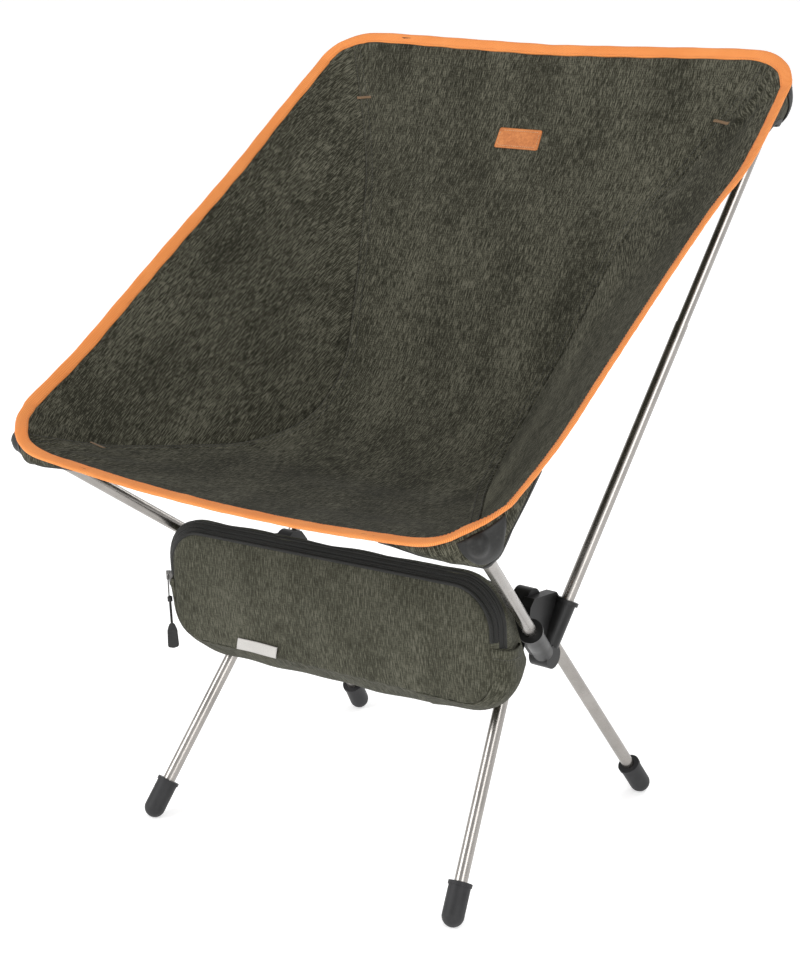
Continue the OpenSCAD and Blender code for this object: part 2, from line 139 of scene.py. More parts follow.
def side_of(mirror):
    """The side's name and the factor that mirrors a point drawn on the left."""
    return ("right", FLIP) if mirror else ("left", np.ones(3))


# ---- Materials ----

def node(tree, kind, inputs=None, **settings):
    """A new node with its settings, and with its inputs set to values or linked to sockets."""
    made = tree.nodes.new(kind)
    for key, value in settings.items():
        setattr(made, key, value)
    for key, value in (inputs or {}).items():
        if isinstance(value, bpy.types.NodeSocket):
            tree.links.new(value, made.inputs[key])
        else:
            made.inputs[key].default_value = value
    return made


def blank_material(name, colour, roughness, **sockets):
    """A node material, its tree and its shader, whose inputs are named with underscores."""
    material = bpy.data.materials.new(name)
    material.use_nodes = True
    tree = material.node_tree
    shader = tree.nodes["Principled BSDF"]
    shader.inputs["Base Color"].default_value = (*colour, 1)
    shader.inputs["Roughness"].default_value = roughness
    for key, value in sockets.items():
        shader.inputs[key.replace("_", " ")].default_value = value
    return material, tree, shader


def ramp(tree, factor, stops):
    """A colour ramp's colour output. stops are (position, (r, g, b))."""
    made = node(tree, "ShaderNodeValToRGB", {"Fac": factor})
    elements = made.color_ramp.elements
    while len(elements) < len(stops):
        elements.new(0.5)
    for element, (position, colour) in zip(elements, stops):
        element.position = position
        element.color = (*colour, 1)
    return made.outputs["Color"]


def math_node(tree, operation, a, b=0.0):
    """The output of one arithmetic step."""
    return node(tree, "ShaderNodeMath", {0: a, 1: b}, operation=operation).outputs[0]


def scaled(tree, vector, x, y, z=1.0):
    """The vector with its axes multiplied."""
    return node(tree, "ShaderNodeMapping", {"Vector": vector, "Scale": (x, y, z)}).outputs["Vector"]


def noise(tree, vector, scale=1.0, detail=2.0, roughness=0.5, distortion=0.0):
    """The value of a noise texture."""
    made = node(tree, "ShaderNodeTexNoise",
                {"Vector": vector, "Scale": scale, "Detail": detail, "Roughness": roughness,
                 "Distortion": distortion})
    return made.outputs["Fac"]


def bump(tree, shader, height, distance, strength=1.0):
    """Adds a bump of the given depth in metres on top of what the shader's normal already has."""
    made = node(tree, "ShaderNodeBump", {"Height": height, "Distance": distance, "Strength": strength})
    links = shader.inputs["Normal"].links
    if links:
        tree.links.new(links[0].from_socket, made.inputs["Normal"])
    tree.links.new(made.outputs["Normal"], shader.inputs["Normal"])


def cloth_map(tree):
    """The cloth's own coordinates, in metres."""
    return node(tree, "ShaderNodeUVMap", uv_map="cloth").outputs["UV"]


def object_map(tree):
    """The object's own coordinates, in metres."""
    return node(tree, "ShaderNodeTexCoord").outputs["Object"]


def heather_cloth(name, dark, middle, light):
    """Two-tone polyester: long pale slubs along the warp, short ones across it, and a plain weave."""
    material, tree, shader = blank_material(
        name, middle, 0.85, Sheen_Weight=0.03, Sheen_Roughness=0.5, Specular_IOR_Level=0.08)
    where = cloth_map(tree)
    slub = noise(tree, scaled(tree, where, 1350, 105), detail=3.0, roughness=0.6, distortion=0.2)
    fine = noise(tree, scaled(tree, where, 2500, 240), detail=2.0, roughness=0.6)
    weft = noise(tree, scaled(tree, where, 150, 1400), detail=3.0, roughness=0.6)
    patch = noise(tree, scaled(tree, where, 24, 9), detail=3.0, roughness=0.55)
    mixed = math_node(tree, "MULTIPLY", slub, 0.50)
    for part, weight in ((fine, 0.26), (weft, 0.18), (patch, 0.14)):
        mixed = math_node(tree, "ADD", mixed, math_node(tree, "MULTIPLY", part, weight))
    tree.links.new(ramp(tree, mixed, [(0.40, dark), (0.53, middle), (0.61, light), (0.72, light)]),
                   shader.inputs["Base Color"])
    weave = math_node(tree, "MULTIPLY", *(
        node(tree, "ShaderNodeTexWave", {"Vector": scaled(tree, where, x, y), "Scale": 330.0,
                                         "Distortion": 0.0}, bands_direction=direction).outputs["Fac"]
        for x, y, direction in ((1, 0, "X"), (0, 1, "Y"))))
    bump(tree, shader, weave, 0.12 * MM, 0.5)
    bump(tree, shader, mixed, 0.5 * MM, 0.55)
    return material


def grosgrain(name, colour, deep, pale, pitch=1.25 * MM):
    """Ribbed tape: ribs across its length, slightly slanted, with painted highlight on their crests and
    painted shade in the grooves between them.
    """
    material, tree, shader = blank_material(name, colour, 0.6, Sheen_Weight=0.05, Specular_IOR_Level=0.15)
    where = cloth_map(tree)
    slant = node(tree, "ShaderNodeMapping",
                 {"Vector": where, "Rotation": (0, 0, math.radians(24))}).outputs["Vector"]
    rib_height_and_light = node(tree, "ShaderNodeTexWave", {"Vector": slant, "Scale": 0.314 / pitch, "Distortion": 0.6,
                                           "Detail": 1.0}, bands_direction="X").outputs["Fac"]
    fuzz = noise(tree, scaled(tree, where, 900, 900), detail=3.0, roughness=0.6)
    soil = noise(tree, scaled(tree, where, 30, 60), detail=3.0)
    # The rib pattern paints highlight on the crests and shade in the grooves, through the deep and pale
    # colours; fuzz and soil add the tape's own random tone.
    tone = math_node(tree, "ADD", math_node(tree, "MULTIPLY", rib_height_and_light, 0.55),
                     math_node(tree, "ADD", math_node(tree, "MULTIPLY", fuzz, 0.25),
                               math_node(tree, "MULTIPLY", soil, 0.3)))
    tree.links.new(ramp(tree, tone, [(0.2, deep), (0.5, colour), (0.85, pale)]), shader.inputs["Base Color"])
    bump(tree, shader, rib_height_and_light, 0.25 * MM, 0.6)
    bump(tree, shader, fuzz, 0.08 * MM, 0.5)
    return material


def thread(name, colour):
    """Twisted sewing thread."""
    material, tree, shader = blank_material(name, colour, 0.6, Sheen_Weight=0.2)
    where = object_map(tree)
    twist = noise(tree, where, scale=2600.0, detail=1.0)
    dark = tuple(0.55 * c for c in colour)
    tree.links.new(ramp(tree, twist, [(0.35, dark), (0.6, colour)]), shader.inputs["Base Color"])
    bump(tree, shader, twist, 0.1 * MM, 0.5)
    return material


def leather(name, dark, colour, pale):
    """Smooth leather with pores, fine creases and rubbed high spots."""
    material, tree, shader = blank_material(name, colour, 0.48, Specular_IOR_Level=0.32)
    where = object_map(tree)
    pores = node(tree, "ShaderNodeTexVoronoi", {"Vector": where, "Scale": 1500.0},
                 feature="DISTANCE_TO_EDGE").outputs["Distance"]
    grain = noise(tree, where, scale=420.0, detail=4.0, roughness=0.65)
    rub = noise(tree, where, scale=60.0, detail=3.0)
    tone = math_node(tree, "ADD", math_node(tree, "MULTIPLY", grain, 0.6),
                     math_node(tree, "MULTIPLY", rub, 0.4))
    tree.links.new(ramp(tree, tone, [(0.32, dark), (0.52, colour), (0.72, pale)]),
                   shader.inputs["Base Color"])
    gloss = node(tree, "ShaderNodeMapRange",
                 {"Value": grain, "To Min": 0.38, "To Max": 0.6}).outputs["Result"]
    tree.links.new(gloss, shader.inputs["Roughness"])
    bump(tree, shader, pores, 0.12 * MM, 0.5)
    bump(tree, shader, grain, 0.15 * MM, 0.4)
    return material


def anodised(name, colour, roughness=0.24):
    """Drawn aluminium tube, anodised: faint die lines along it, fingerprints and small scratches."""
    material, tree, shader = blank_material(name, colour, roughness, Metallic=1.0)
    where = object_map(tree)
    draw = noise(tree, where, scale=900.0, detail=2.0)
    haze = noise(tree, where, scale=38.0, detail=4.0, roughness=0.6)
    scratch = noise(tree, scaled(tree, where, 60, 60, 900), detail=4.0, roughness=0.75)
    dim = tuple(0.8 * c for c in colour)
    tree.links.new(ramp(tree, haze, [(0.3, dim), (0.65, colour)]), shader.inputs["Base Color"])
    mixed = math_node(tree, "ADD", math_node(tree, "MULTIPLY", haze, 0.7),
                      math_node(tree, "MULTIPLY", scratch, 0.3))
    gloss = node(tree, "ShaderNodeMapRange",
                 {"Value": mixed, "From Min": 0.3, "From Max": 0.7,
                  "To Min": roughness - 0.05, "To Max": roughness + 0.09}).outputs["Result"]
    tree.links.new(gloss, shader.inputs["Roughness"])
    bump(tree, shader, draw, 0.02 * MM, 0.2)
    bump(tree, shader, scratch, 0.02 * MM, 0.15)
    return material


def moulded(name, colour, roughness=0.42, texture=900.0, depth=0.06):
    """Moulded plastic or rubber with a fine spark-eroded grain, duller where it has been handled."""
    material, tree, shader = blank_material(name, colour, roughness, Specular_IOR_Level=0.28)
    where = object_map(tree)
    grain = noise(tree, where, scale=texture, detail=3.0, roughness=0.6)
    flow = noise(tree, where, scale=45.0, detail=4.0, roughness=0.6)
    pale = tuple(min(1.0, 1.7 * c + 0.006) for c in colour)
    tree.links.new(ramp(tree, flow, [(0.38, colour), (0.72, pale)]), shader.inputs["Base Color"])
    gloss = node(tree, "ShaderNodeMapRange",
                 {"Value": flow, "From Min": 0.3, "From Max": 0.7,
                  "To Min": roughness - 0.06, "To Max": roughness + 0.12}).outputs["Result"]
    tree.links.new(gloss, shader.inputs["Roughness"])
    bump(tree, shader, grain, depth * MM, 0.5)
    return material


def braided_cord(name, colour):
    """Round shock cord with a braided cover."""
    material, tree, shader = blank_material(name, colour, 0.65, Sheen_Weight=0.2)
    where = object_map(tree)
    braid = node(tree, "ShaderNodeTexVoronoi", {"Vector": where, "Scale": 1300.0}).outputs["Distance"]
    dark = tuple(0.4 * c for c in colour)
    tree.links.new(ramp(tree, braid, [(0.1, colour), (0.7, dark)]), shader.inputs["Base Color"])
    bump(tree, shader, braid, -0.2 * MM, 0.6)
    return material


HEATHER = heather_cloth("heather_cloth", (0.0085, 0.0083, 0.0056), (0.030, 0.0292, 0.0200),
                        (0.120, 0.116, 0.086))
BAG_CLOTH = heather_cloth("bag_heather", (0.018, 0.0178, 0.0122), (0.044, 0.0435, 0.0305),
                          (0.105, 0.103, 0.078))
ORANGE = grosgrain("orange_grosgrain", (0.74, 0.235, 0.055), (0.60, 0.155, 0.03), (0.86, 0.36, 0.12))
BLACK_TAPE = grosgrain("black_tape", (0.016, 0.016, 0.015), (0.007, 0.007, 0.007), (0.04, 0.04, 0.037),
                       pitch=0.9 * MM)
BROWN_THREAD = thread("brown_thread", (0.20, 0.115, 0.05))
DARK_THREAD = thread("dark_thread", (0.030, 0.029, 0.022))
TAN_THREAD = thread("tan_thread", (0.62, 0.40, 0.22))
ORANGE_THREAD = thread("orange_thread", (0.80, 0.26, 0.06))
BLACK_LEATHER = leather("black_leather", (0.006, 0.006, 0.006), (0.013, 0.013, 0.012), (0.03, 0.03, 0.028))
TAN_LEATHER = leather("tan_leather", (0.36, 0.11, 0.03), (0.52, 0.18, 0.05), (0.68, 0.28, 0.10))
TUBE = anodised("gunmetal_tube", (0.36, 0.34, 0.32))
BRIGHT = anodised("bright_metal", (0.62, 0.61, 0.59), 0.2)
NYLON = moulded("black_nylon", (0.0075, 0.0075, 0.0075), 0.36)
CAP_PLASTIC = moulded("cap_plastic", (0.014, 0.014, 0.015), 0.46)
RUBBER = moulded("foot_rubber", (0.018, 0.018, 0.019), 0.52, texture=1400.0, depth=0.1)
PLUG_PLASTIC = moulded("plug_plastic", (0.10, 0.10, 0.10), 0.5)
PULL_PLASTIC = moulded("pull_plastic", (0.016, 0.016, 0.016), 0.5)
ZIP_METAL = anodised("zip_metal", (0.16, 0.155, 0.15), 0.34)
COIL = moulded("zip_coil", (0.020, 0.020, 0.020), 0.35)
TAG_WEAVE = grosgrain("tag_weave", (0.50, 0.485, 0.46), (0.36, 0.35, 0.33), (0.66, 0.64, 0.61),
                      pitch=0.5 * MM)
CORD = braided_cord("shock_cord", (0.75, 0.24, 0.05))


# ---- Sling surface ----
# It follows the CAD sling: the seam between centre and side panel, the outer rim, and the sag of the
# centre line, each from the front corner (0) to the back corner (LAST).

SEAM = np.array([[222.5, -230.5, 361.5], [192, -168.5, 341], [155, -106.5, 332], [124, -53.5, 329],
                 [104, 1.5, 343], [104, 49.5, 380], [118, 84.5, 431], [140, 129.5, 508],
                 [172, 173.5, 561], [223.5, 223.5, 647.8]]) * MM
RIM = np.array([[222.5, -230.5, 361.5], [234.5, -217, 369], [239.5, -205, 374.5], [242, -196, 379],
                [243.5, -138.5, 408.5], [243.5, -78.5, 446.5], [243.5, -18.5, 484.5], [243.5, 31.5, 515.5],
                [244.5, 81.5, 546.5], [248, 131.5, 577.5], [243.3, 198, 626], [241, 207, 634],
                [234, 216, 642.5], [223.5, 223.5, 647.8]]) * MM
RIM_Q = (0, 0.45, 0.8, 1, 2, 3, 4, 5, 6, 7, 8, 8.3, 8.65, 9)
SAG = np.array([[0, 2, -20], [0, 0, -14], [0, 0, -10], [0, 0, -10], [0, 5, -9],
                [0, 8, -6], [0, 8, -4], [0, 7, -3], [0, 5, 0], [0, 4, 3.5]]) * MM
LAST = len(SEAM) - 1
CLOTH_T = 1.2 * MM

# The front and back edges of the centre panel, from the middle (0) to the left corner (1).
FRONT_EDGE = np.array([[0, -235.5, 338.5], [80, -237, 340.8], [150, -238.5, 345.6], [192, -240, 350],
                       [212, -236.5, 355.5], [222.5, -230.5, 361.5]]) * MM
FRONT_U = (0, 0.36, 0.67, 0.86, 0.95, 1)
BACK_EDGE = np.array([[0, 226.5, 648.8], [80, 227.5, 650.3], [150, 229, 651.8], [196, 229.5, 652.3],
                      [213, 227.5, 650.8], [223.5, 223.5, 647.8]]) * MM
BACK_U = (0, 0.35, 0.66, 0.86, 0.945, 1)


def spline(points, q):
    """Catmull-Rom curve through the points, for an array of q from 0 to the last index."""
    q = np.asarray(q, float)
    n = len(points) - 1
    i = np.minimum(np.floor(q).astype(int), n - 1)
    f = (q - i)[..., None]
    a, b = points[np.maximum(i - 1, 0)], points[i]
    c, d = points[i + 1], points[np.minimum(i + 2, n)]
    square, cube = 2 * a - 5 * b + 4 * c - d, 3 * b - a - 3 * c + d
    return 0.5 * (2 * b + (c - a) * f + square * f ** 2 + cube * f ** 3)


def keyed(points, keys, at):
    """The curve through the points, each of which belongs to its key."""
    return spline(points, np.interp(at, keys, np.arange(len(keys))))


def rim_at(q):
    """The left rim."""
    return keyed(RIM, RIM_Q, q)


def edge_at(points, keys, u):
    """A point of the front or back edge, mirrored for negative u."""
    found = keyed(points, keys, np.abs(u))
    found[..., 0] *= np.sign(u)
    return found


def plain_centre(q, u):
    """Centre panel before its front and back edges are shaped."""
    s = spline(SEAM, q)
    flat = np.stack([s[..., 0] * u, s[..., 1], s[..., 2]], -1)
    return flat + (1 - u ** 2)[..., None] * spline(SAG, q)


def centre_at(q, u):
    """Centre panel: u from -1 at the right seam to 1 at the left one."""
    q, u = np.broadcast_arrays(np.asarray(q, float), np.asarray(u, float))
    at_front = edge_at(FRONT_EDGE, FRONT_U, u) - plain_centre(np.zeros_like(q), u)
    at_back = edge_at(BACK_EDGE, BACK_U, u) - plain_centre(np.full_like(q, LAST), u)
    near_front = 1 - smoothstep(q)
    near_back = smoothstep(q - (LAST - 1))
    return plain_centre(q, u) + near_front[..., None] * at_front + near_back[..., None] * at_back


def side_at(q, w):
    """Left side panel: w from 0 at the seam to 1 at the rim."""
    w = np.asarray(w, float)[..., None]
    return spline(SEAM, q) * (1 - w) + rim_at(q) * w


def normals_of(points):
    """Unit normals of a grid of points, as columns x rows cross product."""
    along = np.gradient(points, axis=0)
    across = np.gradient(points, axis=1)
    return unit(np.cross(across, along))


CORNERS = [SEAM[0], SEAM[-1]]


def tension_folds(points):
    """Depth of the soft folds that run into the corners, for points of the sitter's left half."""
    depth = np.zeros(points.shape[:-1])
    for index, corner in enumerate(CORNERS):
        away = points - corner
        distance = np.linalg.norm(away, axis=-1)
        angle = np.arctan2(away[..., 0], np.hypot(away[..., 1], away[..., 2]))
        near = np.exp(-((distance - 0.05) / 0.055) ** 2)
        depth += near * 0.9 * MM * np.sin(angle * 17 + index * 1.3)
    return depth


def drape(points):
    """Slow unevenness of stretched cloth, the same for both halves but for its phase."""
    x, y, z = points[..., 0], points[..., 1], points[..., 2]
    wave = (np.sin(31 * y + 9 * x + 1.0) * np.sin(27 * z - 13 * x)
            + 0.6 * np.sin(53 * y - 37 * z + 21 * x) * np.sin(44 * x + 0.4))
    return 0.7 * MM * wave


SEAM_BAND = 10 * MM
BAND_STEPS = np.array([0.0, 0.5, 1.1, 2.0, 3.6, 5.4, 7.2, 8.6, 9.5, 10.3, 11.5, 14.0]) * MM


def seam_relief(distance):
    """Height of the folded seam allowance: a crease at the seam, then a double layer one band wide."""
    crease = -1.0 * MM * np.exp(-(distance / (0.7 * MM)) ** 2)
    layer = 0.55 * MM * smoothstep((SEAM_BAND + 0.6 * MM - distance) / (1.2 * MM))
    return crease + layer * smoothstep(distance / (1.0 * MM))


def sling_rows():
    """Places along the seam of the sling's rows of vertices."""
    return np.linspace(0, LAST, 230)


def centre_columns(q, inner=44):
    """u of each column of the centre panel: fixed distances from the seams, even in between."""
    half = spline(SEAM, q)[:, 0]
    edge = 1 - BAND_STEPS[None, :] / half[:, None]
    steps = np.linspace(1, 0, inner // 2 + 1)[None, 1:]
    right = np.concatenate([edge, edge[:, -1:] * steps], axis=1)
    return np.concatenate([right, -right[:, -2::-1]], axis=1)


CENTRE_UP = (0, -0.3, 1)


def build_centre_panel():
    """Seat and back in one length of cloth, with the folded bands of its two seams."""
    q = sling_rows()
    u = centre_columns(q)
    rows, cols = u.shape
    q_grid = np.repeat(q[:, None], cols, axis=1)
    points = centre_at(q_grid, u)
    normals = facing(normals_of(points), CENTRE_UP)
    half = spline(SEAM, q)[:, 0][:, None]
    distance = half * (1 - np.abs(u))
    on_left = points.copy()
    on_left[..., 0] = np.abs(points[..., 0])
    lift = seam_relief(distance) + tension_folds(on_left) * smoothstep(distance / 0.02)
    lift = lift + drape(points) * smoothstep(distance / 0.05)
    points = points + normals * lift[..., None]
    length = arc_lengths(centre_at(q, 0))
    uvs = np.stack([half * u, np.repeat(length[:, None], cols, axis=1)], -1)
    faces = grid_faces(rows, cols)
    piece = mesh_piece("sling_centre_cloth", points.reshape(-1, 3), faces, HEATHER, uvs.reshape(-1, 2))
    solidify(piece, CLOTH_T)
    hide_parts("sling_centre")


def build_side_panel(name, cad_node, mirror):
    """Lens-shaped panel between a seam and the rim."""
    q = sling_rows()[2:-2]
    width = np.linalg.norm(rim_at(q) - spline(SEAM, q), axis=1)
    near = np.array([0.0, 0.5, 1.2, 2.5, 5.0]) * MM
    fixed = near[None, :] / np.maximum(width, 12 * MM)[:, None]
    steps = np.linspace(0, 1, 30)[None, 1:]
    w = np.concatenate([fixed, fixed[:, -1:] + (1 - fixed[:, -1:]) * steps], axis=1)
    rows, cols = w.shape
    points = side_at(np.repeat(q[:, None], cols, axis=1), w)
    normals = facing(normals_of(points), (-1, -0.2, 0.6))
    distance = w * width[:, None]
    crease = -1.0 * MM * np.exp(-(distance / (0.8 * MM)) ** 2)
    taper = smoothstep(distance / 0.02) * smoothstep((1 - w) * width[:, None] / 0.03)
    lift = crease + (tension_folds(points) + 1.2 * drape(points)) * taper
    points = points + normals * lift[..., None]
    run = unit(RIM[-1] - RIM[0])
    side = unit(np.cross(run, [1.0, 0.3, -0.2]))
    uvs = np.stack([points @ side, points @ run + 0.37], -1)
    if mirror:
        points = points * FLIP
        uvs = uvs + [0.61, 0.29]
    piece = mesh_piece(name, points.reshape(-1, 3), grid_faces(rows, cols), HEATHER, uvs.reshape(-1, 2))
    solidify(piece, CLOTH_T)
    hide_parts(cad_node)


# ---- Edge binding ----

def edge_loop(step=3.2 * MM):
    """Even points round the sling's edge, each with the way into the cloth."""
    q = np.linspace(0, LAST, 260)
    left = rim_at(q)
    left_lean = spline(SEAM, np.clip(q, 2, 7))
    u = np.linspace(1, -1, 160)[1:-1]
    top = centre_at(np.full_like(u, LAST), u)
    top_lean = centre_at(np.full_like(u, 7.0), u)
    front = centre_at(np.zeros_like(u), -u)
    front_lean = centre_at(np.full_like(u, 2.0), -u)
    path = np.concatenate([left, top, left[::-1] * FLIP, front])
    lean = np.concatenate([left_lean, top_lean, left_lean[::-1] * FLIP, front_lean])
    closed = np.vstack([path, path[:1]])
    length = arc_lengths(closed)
    count = int(length[-1] / step)
    at = np.linspace(0, length[-1], count, endpoint=False)
    path = read_along(closed, length, at)
    lean = read_along(np.vstack([lean, lean[:1]]), length, at)
    return path, lean, at, length[-1]


def smooth_loop(values, reach):
    """A running average over a closed loop of rows."""
    total = sum(np.roll(values, k, axis=0) for k in range(-reach, reach + 1))
    return total / (2 * reach + 1)


def loop_frames(path, lean):
    """Inward and up directions along the closed edge."""
    tangent = unit(np.roll(path, -1, axis=0) - np.roll(path, 1, axis=0))
    inward = lean - path
    inward = unit(inward - tangent * (inward * tangent).sum(-1, keepdims=True))
    inward = unit(smooth_loop(inward, 5))
    inward = unit(inward - tangent * (inward * tangent).sum(-1, keepdims=True))
    return inward, np.cross(tangent, inward)


BINDING_SECTION = np.array([
    (-3.4, 0.0), (-3.15, 0.7), (-2.5, 1.15), (-1.2, 1.4), (0.8, 1.42), (2.8, 1.36), (4.4, 1.3), (5.1, 1.12),
    (5.4, 0.75), (5.4, -0.75), (5.1, -1.12), (4.4, -1.3), (2.8, -1.36), (0.8, -1.42), (-1.2, -1.4),
    (-2.5, -1.15), (-3.15, -0.7)]) * MM * [1.2, 1.15]


def roll_front(path, inward, up):
    """Turns the tape of the front edge downward, as the cloth hangs over its own pull there."""
    angle = -math.radians(15) * smoothstep((-0.205 - path[:, 1]) / 0.025) * np.sign(up[:, 2])
    cos, sin = np.cos(angle)[:, None], np.sin(angle)[:, None]
    return inward * cos - up * sin, up * cos + inward * sin


def build_binding():
    """The orange tape round the sling, slightly puckered. Returns its line, inward and up directions."""
    path, lean, at, total = edge_loop()
    inward, up = loop_frames(path, lean)
    inward, up = roll_front(path, inward, up)
    cols = len(BINDING_SECTION)
    around = arc_lengths(np.vstack([BINDING_SECTION, BINDING_SECTION[:1]]))
    turns = at / total * 2 * math.pi
    pucker = 1 + 0.05 * np.sin(turns * 143) + 0.05 * np.sin(turns * 61 + 1) + 0.03 * np.sin(turns * 227 + 2)
    roll = 0.12 * np.sin(turns * 37) + 0.08 * np.sin(turns * 83 + 0.7)
    a, b = BINDING_SECTION[:, 0], BINDING_SECTION[:, 1]
    wide = a[None, :] * (1 + 0.04 * np.sin(turns * 51))[:, None]
    thick = b[None, :] * pucker[:, None] + 0.1 * a[None, :] * roll[:, None]
    points = path[:, None] + inward[:, None] * wide[..., None] + up[:, None] * thick[..., None]
    rows = len(path)
    faces = grid_faces(rows, cols, close_cols=True, close_rows=True)
    piece = mesh_piece("edge_binding_tape", points.reshape(-1, 3), faces, ORANGE)
    layer = piece.data.uv_layers.new(name="cloth")
    for polygon in piece.data.polygons:
        i, j = divmod(polygon.index, cols)
        for loop_index, (di, dj) in zip(polygon.loop_indices, ((0, 0), (0, 1), (1, 1), (1, 0))):
            layer.data[loop_index].uv = ((i + di) * total / rows, around[j + dj])
    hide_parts("edge_binding")
    return path, inward, up


# ---- Stitches ----

def stitch_mesh(name, starts, ends, ups, radius, material, body="frame"):
    """Many short rounded stitches in one mesh. Each lies between its two points, half sunk in the cloth."""
    ring = 6
    shape = [(0.0, 0.35), (0.18, 0.85), (0.5, 1.0), (0.82, 0.85), (1.0, 0.35)]
    verts, faces = [], []
    for start, end, up in zip(starts, ends, ups):
        side = unit(np.cross(end - start, up))
        base = len(verts)
        for t, scale in shape:
            middle = start + (end - start) * t + up * radius * 0.45 * (1 - (2 * t - 1) ** 2)
            for k in range(ring):
                a = 2 * math.pi * k / ring
                verts.append(middle + (side * math.cos(a) + up * math.sin(a)) * radius * scale)
        for i in range(len(shape) - 1):
            for k in range(ring):
                n = (k + 1) % ring
                faces.append((base + i * ring + k, base + i * ring + n,
                              base + (i + 1) * ring + n, base + (i + 1) * ring + k))
        faces.append(tuple(base + k for k in reversed(range(ring))))
        faces.append(tuple(base + (len(shape) - 1) * ring + k for k in range(ring)))
    return mesh_piece(name, verts, faces, material, body=body)


def stitch_row(points, ups, pitch=3.3 * MM, length=2.3 * MM, lift=0.1 * MM):
    """Starts, ends and up directions of the stitches along a line of points."""
    along = arc_lengths(points)
    at = np.arange(pitch, along[-1] - pitch, pitch)
    up = unit(read_along(ups, along, at))
    start, end = (read_along(points, along, at + shift) for shift in (-length / 2, length / 2))
    return start + up * lift, end + up * lift, up


def joined_rows(rows):
    """Several stitch rows as one set of starts, ends and ups."""
    return [np.concatenate(parts) for parts in zip(*rows)]


def seam_line(distance, q):
    """Points and normals on top of the centre panel at a distance from the left seam."""
    half = spline(SEAM, q)[:, 0]
    u = 1 - distance / half
    points = centre_at(q, u)
    d_q = centre_at(np.minimum(q + 0.02, LAST), u) - centre_at(np.maximum(q - 0.02, 0), u)
    d_u = centre_at(q, u + 0.01) - centre_at(q, u - 0.01)
    return points, facing(unit(np.cross(d_u, d_q)), CENTRE_UP)


def build_seam_stitches():
    """Two rows along each seam, near the two edges of its folded band."""
    q = np.linspace(0.12, LAST - 0.12, 500)
    rows = []
    for distance in (1.9 * MM, 8.4 * MM):
        points, up = seam_line(distance, q)
        points = points + up * 1.1 * MM
        rows.append(stitch_row(points, up))
        rows.append(stitch_row(points * FLIP, up * FLIP))
    piece = stitch_mesh("seam_stitches", *joined_rows(rows), 0.3 * MM, DARK_THREAD)


def build_binding_stitches(path, inward, up):
    """One row on each face of the binding."""
    path, inward, up = (np.vstack([v, v[:1]]) for v in (path, inward, up))
    line = path + inward * 4.9 * MM
    rows = [stitch_row(line + way * 1.5 * MM, way, pitch=3.0 * MM, length=2.0 * MM) for way in (up, -up)]
    piece = stitch_mesh("binding_stitches", *joined_rows(rows), 0.26 * MM, ORANGE_THREAD)


# ---- Swept strips ----

def sweep(name, path, across, up, section, material, body="frame"):
    """A section of (across, up) offsets carried along a path and capped at both ends."""
    rows, cols = len(path), len(section)
    a = section[:, 0][None, :, None]
    b = section[:, 1][None, :, None]
    points = path[:, None] + across[:, None] * a + up[:, None] * b
    faces = capped_faces(rows, cols)
    around = arc_lengths(section)
    length = arc_lengths(path)
    uvs = np.stack(np.broadcast_arrays(length[:, None], around[None, :]), -1)
    return mesh_piece(name, points.reshape(-1, 3), faces, material, uvs.reshape(-1, 2), body=body)


def round_section(radius):
    """Ten points of a circle."""
    angle = np.linspace(0, 2 * math.pi, 10, endpoint=False)
    return np.stack([np.cos(angle), np.sin(angle)], -1) * radius


def path_frames(path, up_hint):
    """Across and up directions along an open path."""
    tangent = unit(np.gradient(path, axis=0))
    up_hint = np.broadcast_to(np.asarray(up_hint, float), path.shape)
    across = unit(np.cross(tangent, up_hint))
    return across, np.cross(across, tangent)


def smooth_line(points, count):
    """Catmull-Rom curve through a few points, evenly resampled."""
    return even(spline(np.asarray(points, float), np.linspace(0, len(points) - 1, 400)), count)


# ---- Label and bartacks ----

LABEL_Q = 8.13
LABEL_X = -6 * MM
LABEL_SIZE = (46 * MM, 18 * MM)
LABEL_STITCH_IN = 2.2 * MM


def rounded_grid(width, height, corner, cols, rows):
    """Grid of (x, y) over a rounded rectangle, its outer rows and columns on the outline."""
    x = np.linspace(-1, 1, cols)
    y = np.linspace(-1, 1, rows)
    grid_x, grid_y = np.meshgrid(x, y)
    half_x, half_y = width / 2, height / 2
    over = np.maximum(np.abs(grid_y) * half_y - (half_y - corner), 0)
    inset = corner - np.sqrt(np.maximum(corner ** 2 - over ** 2, 0))
    return grid_x * (half_x - inset), grid_y * half_y


def on_centre_panel(x, along, lift):
    """Points at a sideways place x and a distance along the cloth above the label's middle."""
    q = LABEL_Q + along / (95 * MM)
    half = spline(SEAM, q)[..., 0]
    u = x / half
    points = centre_at(q, u)
    d_q = centre_at(q + 0.03, u) - centre_at(q - 0.03, u)
    d_u = centre_at(q, u + 0.02) - centre_at(q, u - 0.02)
    up = facing(unit(np.cross(d_u, d_q)), (0, -1, 0.4))
    return points + up * np.asarray(lift)[..., None], up


def build_label():
    """Blank leather label with a groove along its stitched border."""
    x, along = rounded_grid(*LABEL_SIZE, 1.6 * MM, 60, 26)
    edge = np.minimum(LABEL_SIZE[0] / 2 - np.abs(x), LABEL_SIZE[1] / 2 - np.abs(along))
    groove = 0.3 * MM * np.exp(-((edge - LABEL_STITCH_IN) / (0.5 * MM)) ** 2)
    crown = 1.7 * MM + 0.35 * MM * smoothstep(edge / (1.6 * MM)) - groove
    points, _ = on_centre_panel(x + LABEL_X, along, crown)
    uvs = np.stack([x, along], -1)
    piece = mesh_piece("label_leather_patch", points.reshape(-1, 3), grid_faces(*x.shape), TAN_LEATHER,
                       uvs.reshape(-1, 2))
    solidify(piece, 1.3 * MM, -1.0)
    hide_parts("label_patch")
    build_label_stitches()


